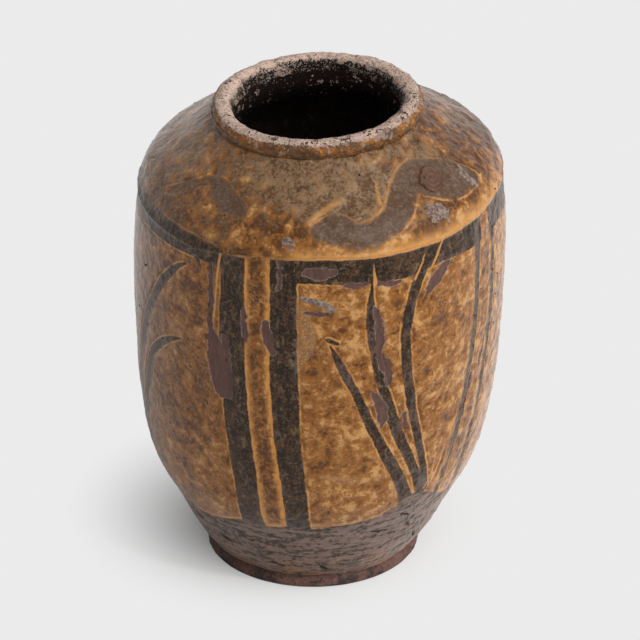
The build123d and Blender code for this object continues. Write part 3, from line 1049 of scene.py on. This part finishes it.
def crumb_tree():
    """The tree that sows crumbs on a bed."""
    wires, given = new_tree("kiln crumbs", ("Density", "Crumb Size"))
    sown = wires.node("GeometryNodeDistributePointsOnFaces", {
        "Mesh": given["Geometry"], "Density": given["Density"], "Seed": given["Seed"],
    }, distribute_method="RANDOM")
    stone = wires.value("GeometryNodeMeshIcoSphere", {
        "Radius": given["Crumb Size"], "Subdivisions": 2}, "Mesh")
    size = wires.value("FunctionNodeRandomValue", {
        0: CRUMB_LEAST, 1: CRUMB_MOST, "Seed": given["Seed"]}, data_type="FLOAT_VECTOR")
    placed = wires.value("GeometryNodeInstanceOnPoints", {
        "Points": Value(wires, sown.outputs["Points"]), "Instance": stone,
        "Rotation": Value(wires, sown.outputs["Rotation"]), "Scale": size})
    return close_tree(wires, placed, given["Material"])


def applied(piece, tree, values):
    """Run a tree on a piece and keep the result as its plain mesh."""
    modifier = piece.modifiers.new(tree.name, "NODES")
    modifier.node_group = tree
    for item in tree.interface.items_tree:
        if item.item_type == "SOCKET" and item.in_out == "INPUT" and item.name in values:
            modifier[item.identifier] = values[item.name]
    graph = bpy.context.evaluated_depsgraph_get()
    mesh = bpy.data.meshes.new_from_object(
        piece.evaluated_get(graph), preserve_all_data_layers=True, depsgraph=graph)
    piece.modifiers.remove(modifier)
    old = piece.data
    name = old.name
    piece.data = mesh
    bpy.data.meshes.remove(old)
    mesh.name = name


def roughened(piece, material, **changes):
    """Give a coat its relief; changes are factors on the sizes."""
    sizes = bpy.context.scene.jar_sizes
    values = {"Seed": float(sizes.seed), "Material": material}
    for label in RELIEF_INPUTS:
        own = label.lower().replace(" ", "_")
        values[label] = getattr(sizes, own) * changes.get(own, 1)
    applied(piece, relief_tree(), values)


# ---------------------------------------------------------------- materials

def new_material(name):
    """An empty material with its wires, its shader and its place on the object."""
    material = bpy.data.materials.new(name)
    material.use_nodes = True
    material.node_tree.nodes.clear()
    wires = Wiring(material.node_tree)
    shader = wires.node("ShaderNodeBsdfPrincipled")
    wires.node("ShaderNodeOutputMaterial", {"Surface": Value(wires, shader.outputs[0])})
    return material, wires, shader, wires.value("ShaderNodeTexCoord", output="Object")


def shaded(wires, shader, hue, rough, shine, height, strength=0.9, distance=0.8 * MM):
    """Give a shader its colour, roughness, gloss and a fine relief that only light sees."""
    bump = wires.value("ShaderNodeBump", {
        "Strength": strength, "Distance": distance, "Height": height})
    for name, value in (("Base Color", hue), ("Roughness", rough),
                        ("Specular IOR Level", shine), ("Normal", bump)):
        wires.put(shader.inputs[name], value)


def noises(place, fields):
    """Named noise fields at a place, from a table."""
    return SimpleNamespace(**{
        name: place.noise(size * MM, *others) for name, (size, *others) in fields.items()})


def layered(hue, *layers):
    """A colour with others laid over it, each given as its share and its colour."""
    for share, over in layers:
        hue = share.mix(hue, over)
    return hue


def glazed_coat():
    """Amber glaze, dark slip, gold scratched lines, bare clay and crust, as drawn."""
    if "glazed coat" in bpy.data.materials:
        return bpy.data.materials["glazed coat"]
    own = colours()
    material, wires, shader, place = new_material("glazed coat")
    relief, band, aged, strip, soft, lined = map(
        wires.seen, ("relief", "band", "aged", "strip", "soft", "lined"))
    field = noises(place, GLAZE_NOISES)
    middle, grain, dust = field.middle, field.grain, field.dust
    drawn = wires.seen("drawn") + dust.swing(0.6) + grain.swing(0.5)
    flaked = wires.seen("flaked") + dust.swing(0.7)
    crusted = wires.seen("crusted") + grain.swing(1.6)

    # Glaze: pale on high spots, deep in the hollows and in broad clouds. This is thin and pooled
    # glaze, and also painted highlight on the high spots and painted shade in the hollows
    in_strip = strip * drawn.step(-4.2, -6.4)
    # The relief term paints shade into the hollows; the term for the left side and the shoulder is
    # painted shade
    thick = (middle.swing(1.1) + field.broad.swing(0.45) + grain.swing(0.65)
             + relief * (-1.25 + soft * -0.3) + aged * 0.7 + in_strip * 0.5 + -0.02)
    glaze = layered(
        thick.step(-0.95, 0.05).mix(own.amber_pale, own.amber),
        (thick.step(0, 1.1), own.amber_deep),
        # Pale spots on the high ground are painted highlights
        ((field.spots + relief * 0.05).step(0.56, 0.7) * (0.7 - aged * 0.35), own.amber_pale),
        ((field.dark + aged * 0.07).step(0.62, 0.76) * 0.75, own.slip),
        ((field.pits + relief * -0.06).step(0.6, 0.7) * (0.6 + aged * 0.2), own.amber_deep))

    # Fine pale crackle, in some places only
    warp = wires.value("ShaderNodeTexNoise", {"Vector": place, "Scale": 1 / (6 * MM)}, "Color")
    bent = wires.value("ShaderNodeVectorMath", {
        0: place, 1: warp.squeezed(3 * MM, 3 * MM, 3 * MM)}, operation="ADD")
    lines = bent.cell_edges(6.5 * MM).step(0.06, 0)
    net = bent.cell_edges(2.6 * MM).step(0.16, 0.03)

    # The greyed glaze comes in clouds and flecks; matt glaze is crackled
    cloud = (wires.seen("veil") + field.broad.swing(0.4) + middle.swing(0.42)
             + grain.swing(0.25))
    # The greyed glaze is lighter on high spots and darker in hollows: painted highlight and painted
    # shade, besides its own mottling
    greyed = (grain + relief * 0.14).step(0.36, 0.6).mix(own.olive_deep, own.olive)
    matte = (wires.seen("matte") + middle.swing(4.2) + grain.swing(2)).step(-1.5, 3.5)
    glaze = layered(
        glaze,
        (lines * field.crackled.step(0.46, 0.6) * 0.4, own.matte),
        (cloud.step(0.3, 0.9) * 0.75, greyed),
        (matte * 0.6, own.matte),
        (matte * net * 0.5, own.slip),
        (matte * grain.step(0.56, 0.68) * 0.4, own.crust))

    # Slip under thin glaze: upright streaks, pale flecks, grey matt edges
    streaks = place.squeezed(1, 1, 0.22).noise(3.2 * MM, 4, 0.6, 14)
    drift = place.squeezed(1, 1, 0.5).noise(7 * MM, 3, 0.6, 22, 0.6)
    flecks = field.flecks.step(0.5, 0.68) * middle.step(0.4, 0.6)
    grey = (drawn + middle.swing(3)).step(5, 0.5) * field.greyed.step(0.5, 0.6)
    slip = layered(
        (streaks + (grain - 0.5) * 1.2).step(0.42, 0.62).mix(own.slip_deep, own.slip),
        (drift.step(0.5, 0.34) * 0.7, own.slip_deep),
        (drift.step(0.56, 0.7) * 0.5, own.slip_pale),
        (flecks * 0.6, own.slip_pale),
        (dust.step(0.6, 0.7) * 0.6, own.slip_pale),
        (grey * (0.2 + grain.step(0.42, 0.6) * 0.45), own.slip_grey),
        (matte * 0.4, own.crust),
        (matte * net * 0.5, own.slip_deep))

    # The foot band is streaked level, with amber runs near the foot
    level = place.squeezed(0.12, 0.12, 1).noise(2.6 * MM, 2, 0.5, 14)
    near_foot = place.part(2).step(44 * MM, 22 * MM)
    banded = layered(
        (field.banded + (level - 0.5) * 0.8).step(0.38, 0.6).mix(own.slip, own.band),
        ((field.banded + (level - 0.5)).step(0.5, 0.42) * 0.9, own.slip_deep),
        (level.step(0.51, 0.56) * near_foot * 0.85, own.amber),
        (flecks * 0.6, own.slip_pale))

    # The scrolls lie under thick glaze, with blurred edges
    blur = 0.3 + soft * 1.5
    in_slip = (drawn + soft * middle.swing(1.8)).step(blur * -1, blur)
    mottle = (middle + (grain - 0.5) * 0.7).step(0.36, 0.64).mix(own.olive_deep, own.scroll)
    slip = layered(
        slip, (band * 0.85, banded),
        (soft * 0.85, (grain.step(0.52, 0.66) * 0.35).mix(mottle, own.crust)))

    # Thin glaze over the scratched outline, along the ridge and at a strip's sides. Along the
    # ridge, towards the viewer, the gold is partly worn glaze and partly a painted highlight
    broken = field.broken
    outline = drawn.hump(-1.6, -0.3, 0.4) * broken.step(0.4, 0.58)
    rubbed_and_lit_ridge = (wires.seen("ridge_line") + middle.swing(1.6)).step(2.8, 1.2)
    ridge_wear_and_glint = wires.seen("glow") * (middle + relief * -0.1).step(0.34, 0.56)
    beside = strip * (
        (drawn + middle.swing(3.2) + field.spots.swing(1.6)).step(-4.8, -1.2)
        * drawn.step(0.4, -0.2)) * lined * broken.step(0.28, 0.5, 0.3, 0.95)
    ticks = wires.seen("tick") + dust.swing(0.4) + soft * middle.swing(0.9)
    ticks = ticks.step(-0.5 - soft, 0.3 + soft) * (1 - soft * 0.35)
    shine = (outline * lined * 0.9).most(rubbed_and_lit_ridge * 0.85).most(ridge_wear_and_glint).most(beside).most(ticks)
    bright = (grain + (middle - 0.5) * -0.5).step(0.34, 0.62).mix(own.gold, own.amber_pale)
    glaze = (shine * 0.88).mix(glaze, beside.mix(bright, own.gold))
    covered = in_slip * (1 - rubbed_and_lit_ridge.most(ticks) * 0.85)

    # Cuts are dark; bare clay has a thin pale edge, a painted highlight on the broken glaze's rim;
    # crust lies over all
    edge = flaked.hump(-0.8, 0, 0.25) * broken.step(0.42, 0.5)
    is_bare = flaked.step(-0.1, 0.25)
    is_crust = crusted.step(-0.4, 0.5)
    clay = layered(streaks.step(0.36, 0.64).mix(toned(own.bare, 0.72), own.bare),
                   (grain.step(0.6, 0.72) * 0.4, own.crust))
    hue = layered(
        covered.mix(glaze, slip),
        (wires.seen("gashed").step(-0.3, 0.4), own.slip_deep),
        (edge * 0.6, own.crust),
        (is_bare, clay),
        (is_crust, grain.step(0.4, 0.62).mix(own.bare, own.crust)))

    dull = is_bare.most(is_crust).most(matte * 0.7)
    rough = (0.08 + in_slip * 0.2 + grain * 0.1 + band * 0.1 + cloud.step(0.3, 0.78) * 0.08)
    shaded(wires, shader, hue, rough * (1 - dull) + dull * 0.8, GLAZE_SHINE,
           grain + middle * 1.6 + dust * 0.3 + lines * 0.25, 0.5, 0.5 * MM)
    for name, value in GLAZE_SHEEN.items():
        wires.put(shader.inputs[name], value)
    return material


def rough_clay(name, base, dark, share, roughness=0.85, scale=1, gloss=0.35):
    """Unglazed clay with dark remnants over a share of it."""
    if name in bpy.data.materials:
        return bpy.data.materials[name]
    material, wires, shader, place = new_material(name)
    broad = place.noise(16 * MM * scale, 4, 0.6, 5, 0.4)
    middle = place.noise(5 * MM * scale, 4, 0.65, 6)
    grain = place.noise(1.6 * MM, 3, 0.6, 7)
    patches = broad + (middle - 0.5) * 0.7 + (grain - 0.5) * 0.25
    body = (middle + (grain - 0.5) * 0.7).step(0.3, 0.68).mix(toned(base, 0.52), base)
    found = patches.step(1 - share - 0.03, 1 - share + 0.03)
    shaded(wires, shader, found.mix(body, dark), roughness + found * -0.25, gloss,
           grain + middle * 1.5)
    return material


def rim_coat():
    """Bare clay on the crest, dark flecked slip within, and worn glaze outside."""
    own = colours()
    material, wires, shader, place = new_material("rim coat")
    out = wires.seen("faces_out")
    up = wires.seen("faces_up")
    field = noises(place, RIM_NOISES)
    broad, middle, grain = field.broad, field.middle, field.grain
    ragged = middle.swing(0.5) + grain.swing(0.3) + broad.swing(0.25)
    behind = (place.part(1) * 0.8 + place.part(0) * -0.6).step(-60 * MM, 50 * MM)
    spots = (middle + (grain - 0.5) * 0.6 + behind * -0.06).step(0.53, 0.58)
    clay = layered(
        (middle + (grain - 0.5) * 0.8).step(0.32, 0.6).mix(
            toned(own.rim_clay, 0.45), own.rim_clay),
        (spots, own.rim_slip))
    glaze = layered(
        (broad + (grain - 0.5) * 0.6).step(0.4, 0.6).mix(own.amber, own.olive_deep),
        (middle.step(0.53, 0.58) * 0.85, toned(own.rim_clay, 0.42)),
        (middle.step(0.44, 0.38) * 0.5, own.gold))
    outside = (out + up * -0.62 + ragged * 1.1).step(0.04, 0.18)
    within = (out * -1 + up * -0.25 + ragged * 2.1 + behind * -0.3).step(0.3, 0.42)
    inside = (grain + (middle - 0.5) * 0.8).step(0.56, 0.64).mix(
        toned(own.rim_slip, 0.3), own.crust)
    shaded(wires, shader, layered(clay, (outside, glaze), (within, inside)),
           0.85 - outside * 0.45, GLAZE_SHINE, grain + middle * 1.5)
    return material


# ---------------------------------------------------------------- operators

def column_at(turn):
    """The grid column at a turn, rounded to where the back has one."""
    return round(turn / 360 * COLUMNS / BACK_STEP) * BACK_STEP


def glazed(name, low, high, slot, nodes, first=0, last=COLUMNS, **changes):
    """A glazed coat between two heights and two columns, in the place of some nodes."""
    piece = coat(name, low, high, first, last)
    roughened(piece, glazed_coat(), **changes)
    finished(piece, glazed_coat(), slot, *nodes)


def foot_look():
    """Rough clay of the foot."""
    own = colours()
    return rough_clay("foot clay", own.foot_clay, own.rim_slip, 0.46)


class JarOperator:
    """What every operator of the jar has in common."""

    bl_options = {"REGISTER", "UNDO"}


class JAR_OT_body(JarOperator, bpy.types.Operator):
    """Clay members and the slip inside, bent as the fired jar is"""

    bl_idname = "jar.body"
    bl_label = "Clay Members"

    def execute(self, context):
        own = colours()
        clay = rough_clay("bare clay", own.bare, own.rim_slip, 0.4)
        inside = rough_clay("inner coat", own.inside, toned(own.inside, 1.9), 0.36, 0.62, 2.2, 0.15)
        throat = rough_clay("throat clay", toned(own.rim_slip, 0.3), toned(own.rim_clay, 0.5),
                            0.35, 0.85, 0.4, 0.06)
        for node in ("lower_wall", "middle_wall", "upper_wall", "shoulder_slab"):
            finished(clay_copy(node, COAT_DEPTH), clay, "body_clay", node)
        finished(clay_copy("neck_collar", COAT_DEPTH), throat, "body_clay", "neck_collar")
        finished(clay_copy("inner_slip", 0), inside, "inner_slip", "inner_slip")
        base = bpy.data.objects["base_disc"]
        for slot in base.material_slots:
            slot.material = foot_look()
        if not base.material_slots:
            base.data.materials.append(foot_look())
        return {"FINISHED"}


class JAR_OT_foot(JarOperator, bpy.types.Operator):
    """Foot ring of rough clay, and the dark band above it"""

    bl_idname = "jar.foot"
    bl_label = "Foot"

    def execute(self, context):
        ring = clay_ring("foot_ring_clay", np.array(FOOT_SECTION) * MM, FOOT_COLUMNS, FOOT_FLAT)
        roughened(ring, foot_look(), swell_depth=0.5)
        finished(ring, foot_look(), "bare_clay", "foot_ring")
        glazed("foot_band", NOTCH_HEIGHT, BAND_TOP, "dark_slip", ("foot_slip_band",))
        return {"FINISHED"}


class JAR_OT_stripes(JarOperator, bpy.types.Operator):
    """Four pairs of upright stripes, each with its amber strip"""

    bl_idname = "jar.stripes"
    bl_label = "Stripe Pairs"

    def execute(self, context):
        for quarter, pair in zip(QUARTERS, PAIR_TURNS):
            glazed(f"{quarter}_stripes", BAND_TOP, RIDGE_LOW, "dark_slip",
                   (f"{quarter}_first_stripe", f"{quarter}_second_stripe",
                    f"{quarter}_amber_strip"),
                   column_at(pair - PAIR_HALF_SPAN), column_at(pair + PAIR_HALF_SPAN))
        return {"FINISHED"}


class JAR_OT_reeds(JarOperator, bpy.types.Operator):
    """Four amber fields, each with a tuft of reed leaves"""

    bl_idname = "jar.reeds"
    bl_label = "Reed Fields"

    def execute(self, context):
        following = PAIR_TURNS[1:] + (PAIR_TURNS[0] + 360,)
        for quarter, pair, after in zip(QUARTERS, PAIR_TURNS, following):
            glazed(f"{quarter}_reeds", BAND_TOP, RIDGE_LOW, "amber_glaze",
                   (f"{quarter}_amber_panel", f"{quarter}_reed_tuft"),
                   column_at(pair + PAIR_HALF_SPAN), column_at(after - PAIR_HALF_SPAN))
        return {"FINISHED"}


class JAR_OT_shoulder(JarOperator, bpy.types.Operator):
    """Dark band under the ridge, and the shoulder with its scrolls"""

    bl_idname = "jar.shoulder"
    bl_label = "Shoulder"

    def execute(self, context):
        glazed("ridge_band", RIDGE_LOW, RIDGE, "dark_slip", ("ridge_slip_band",))
        scrolls = [f"{quarter}_shoulder_scroll" for quarter in QUARTERS]
        glazed("shoulder_coat", RIDGE, NECK, "shoulder_glaze", ("shoulder_glaze", *scrolls),
               dimple_depth=1.6, dimple_size=1.2)
        return {"FINISHED"}


class JAR_OT_rim(JarOperator, bpy.types.Operator):
    """Rolled rim of rough clay, with what is left of its glaze"""

    bl_idname = "jar.rim"
    bl_label = "Rim"

    def execute(self, context):
        own = colours()
        section = np.vstack((RIM_THROAT, smooth(RIM_ROLL), RIM_SEAT)) * MM
        rim = clay_ring("rim_clay", section[::-1], RIM_COLUMNS)
        clay = rim_coat()
        roughened(rim, clay, swell_depth=1.2, dimple_depth=1.3, dimple_size=1.2, pit_depth=1.6)
        finished(rim, clay, "bare_clay", "rim_roll")
        trace = clay_ring("rim_glaze_traces", np.array(RIM_TRACE) * MM, RIM_COLUMNS)
        remnant = rough_clay("rim glaze", own.amber, own.olive_deep, 0.5, 0.45)
        roughened(trace, remnant, swell_depth=0.9, dimple_depth=1.3, pit_depth=2.2)
        finished(trace, remnant, "shoulder_glaze", "rim_glaze")
        return {"FINISHED"}


def scar_rise(share, angle):
    """How high the pad's scar stands at a share of its radius, in millimetres."""
    inward = np.array(1 - share)
    ridges = 0.42 * np.sin(share * 17 + 0.8 * np.sin(angle)) * (share < 0.9)
    return 0.8 + smoothstep(inward, 0, 0.12) - 0.5 * smoothstep(inward, 0.15, 0.6) + ridges


class JAR_OT_scar(JarOperator, bpy.types.Operator):
    """Round scar that a stacking pad left on the shoulder"""

    bl_idname = "jar.scar"
    bl_label = "Pad Scar"

    def execute(self, context):
        own = colours()
        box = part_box("pad_scar")
        middle = (box[0] + box[1]) / 2
        turn = math.degrees(math.atan2(middle.x, -middle.y))
        reach = math.hypot(middle.x, middle.y)
        cone = PROFILE.path > PROFILE.ridge + 2 * MM
        centre = PROFILE.path[cone][np.argmin(np.abs(PROFILE.radius[cone] - reach))]
        angle = np.arange(SCAR_SPOKES) * 2 * math.pi / SCAR_SPOKES
        edge = (1 + 0.07 * np.sin(2 * angle + 0.6) + 0.05 * np.sin(5 * angle)
                + 0.03 * np.sin(11 * angle))
        outwards = np.linspace(0, 1, SCAR_RINGS + 1)
        inwards = np.linspace(1, 0, SCAR_RINGS + 1)
        layers = []
        for share, bow in ([(share, scar_rise(share, angle)) for share in outwards]
                           + [(share, -SCAR_SINK) for share in inwards]):
            across = share * SCAR_RADIUS * edge
            radius, height, out, up = PROFILE.at(centre + across * np.sin(angle))
            places = turn + np.degrees(across * np.cos(angle) / reach)
            layers.append(turned_points(radius + bow * MM * out, places, height + bow * MM * up))
        points = np.vstack([layers[0][:1], *layers[1:-1], layers[-1][:1]])
        last = len(points) - 1
        ring = wrapped(np.arange(1, last).reshape(-1, SCAR_SPOKES))
        top, *_, under = ring.tolist()
        faces = [(0, first, second) for first, second in zip(top, top[1:])]
        faces += [(a, d, c, b) for a, b, c, d in quads(ring)]
        faces += [(first, last, second) for first, second in zip(under, under[1:])]
        piece = new_piece("pad_scar_clay", uneven(points), faces)
        clay = rough_clay("scar clay", own.scar, own.slip_deep, 0.4, 0.4)
        finished(piece, clay, "bare_clay", "pad_scar")
        return {"FINISHED"}


class JAR_OT_crumbs(JarOperator, bpy.types.Operator):
    """Small glazed crumbs that fell on the jar in the kiln"""

    bl_idname = "jar.crumbs"
    bl_label = "Kiln Crumbs"

    def execute(self, context):
        sizes = context.scene.jar_sizes
        own = colours()
        path = np.linspace(
            PROFILE.to(CRUMB_LOW), PROFILE.path[-1] - CRUMB_NECK_GAP, CRUMB_BED_ROWS)
        turns = np.arange(0, 360, CRUMB_BED_TURN)
        radius, height = (np.repeat(values, len(turns)) for values in PROFILE.at(path)[:2])
        points = turned_points(radius, np.tile(turns, len(path)), height)
        grid = wrapped(np.arange(len(points)).reshape(len(path), -1))
        piece = new_piece("kiln_crumbs", uneven(points), quads(grid))
        bed = sum(face.area for face in piece.data.polygons)
        look = rough_clay("crumb glaze", own.slip_pale, own.slip_deep, 0.5, 0.3)
        applied(piece, crumb_tree(), {
            "Density": sizes.crumb_count / bed, "Crumb Size": sizes.crumb_size,
            "Seed": float(sizes.seed), "Material": look})
        finished(piece, look, "shoulder_glaze")
        return {"FINISHED"}


def studio_world():
    """Even pale background for the camera, and a dimmer light on the jar."""
    world = bpy.data.worlds.new("studio")
    world.use_nodes = True
    world.node_tree.nodes.clear()
    wires = Wiring(world.node_tree)
    camera, glossy, through = (
        wires.value("ShaderNodeLightPath", output=f"Is {kind} Ray")
        for kind in ("Camera", "Glossy", "Transmission"))
    way = wires.value("ShaderNodeTexCoord", output="Generated")
    pale = wires.value("ShaderNodeBackground", {"Color": BACKGROUND})
    soft = wires.value("ShaderNodeBackground", {
        "Color": (1, 1, 1), "Strength": (1 + way.part(0) * AMBIENT_SLANT) * AMBIENT})
    blend = wires.value(
        "ShaderNodeMixShader", {0: camera.most(glossy.most(through)), 1: soft, 2: pale})
    wires.node("ShaderNodeOutputWorld", {"Surface": blend})
    return world


def floor_material():
    """Pale matt floor that keeps the jar's shadow."""
    material, wires, shader, place = new_material("floor")
    for name, value in (("Base Color", BACKGROUND), ("Roughness", 1), ("Specular IOR Level", 0)):
        wires.put(shader.inputs[name], value)
    glow = wires.value("ShaderNodeEmission", {"Color": BACKGROUND})
    away = wires.value(
        "ShaderNodeVectorMath", {0: place, 1: SHADOW_MIDDLE}, "Value", operation="DISTANCE")
    seen = wires.value("ShaderNodeLightPath", output="Is Camera Ray")
    blend = wires.value("ShaderNodeMixShader", {
        0: seen * away.step(*SHADOW_REACH), 1: Value(wires, shader.outputs[0]), 2: glow})
    output = next(node for node in material.node_tree.nodes
                  if node.bl_idname == "ShaderNodeOutputMaterial")
    wires.put(output.inputs["Surface"], blend)
    return material


class JAR_OT_stage(JarOperator, bpy.types.Operator):
    """Floor, background, lamps and camera"""

    bl_idname = "jar.stage"
    bl_label = "Stage"

    def execute(self, context):
        scene = context.scene
        corners = [(x * FLOOR_REACH, y * FLOOR_REACH, 0)
                   for x, y in ((-1, -1), (1, -1), (1, 1), (-1, 1))]
        floor = new_piece("floor", corners, [(0, 1, 2, 3)])
        floor.data.materials.append(floor_material())

        scene.world = studio_world()
        for name, way, angle, strength, tint in LAMPS:
            lamp = bpy.data.lights.new(name, "SUN")
            lamp.angle = math.radians(angle)
            lamp.energy = strength
            lamp.color = tint
            holder = bpy.data.objects.new(name, lamp)
            holder.location = Vector(way) * 3
            holder.rotation_euler = (-Vector(way)).to_track_quat("-Z", "Y").to_euler()
            scene.collection.objects.link(holder)

        lens = bpy.data.cameras.new("camera")
        lens.sensor_width = 36
        lens.lens = CAMERA_LENS
        lens.clip_end = 60
        camera = bpy.data.objects.new("camera", lens)
        camera.location = CAMERA_TARGET + CAMERA_WAY * CAMERA_DISTANCE
        camera.rotation_euler = (-CAMERA_WAY).to_track_quat("-Z", "Y").to_euler()
        scene.collection.objects.link(camera)
        scene.camera = camera
        scene.view_settings.view_transform = "Standard"
        return {"FINISHED"}


OPERATORS = (
    JAR_OT_body, JAR_OT_foot, JAR_OT_stripes, JAR_OT_reeds, JAR_OT_shoulder, JAR_OT_rim,
    JAR_OT_scar, JAR_OT_crumbs, JAR_OT_stage,
)


class JAR_PT_panel(bpy.types.Panel):
    """The jar's sizes, colours and steps"""

    bl_idname = "JAR_PT_panel"
    bl_label = "Jar"
    bl_space_type = "VIEW_3D"
    bl_region_type = "UI"
    bl_category = "Jar"

    def draw(self, context):
        for group in (context.scene.jar_sizes, context.scene.jar_colours):
            for name in group.bl_rna.properties.keys():
                if name not in ("rna_type", "name"):
                    self.layout.prop(group, name)
        for step in OPERATORS:
            self.layout.operator(step.bl_idname)


CLASSES = (JarSizes, JarColours, *OPERATORS, JAR_PT_panel)


def register():
    """Add the classes and the scene's two groups of settings."""
    for part in CLASSES:
        bpy.utils.register_class(part)
    bpy.types.Scene.jar_sizes = PointerProperty(type=JarSizes)
    bpy.types.Scene.jar_colours = PointerProperty(type=JarColours)


def unregister():
    """Take away what register added."""
    del bpy.types.Scene.jar_sizes
    del bpy.types.Scene.jar_colours
    for part in reversed(CLASSES):
        bpy.utils.unregister_class(part)


def main():
    """Build the jar."""
    register()
    for part in OPERATORS:
        family, step = part.bl_idname.split(".")
        getattr(getattr(bpy.ops, family), step)()


if __name__ == "__main__":
    main()
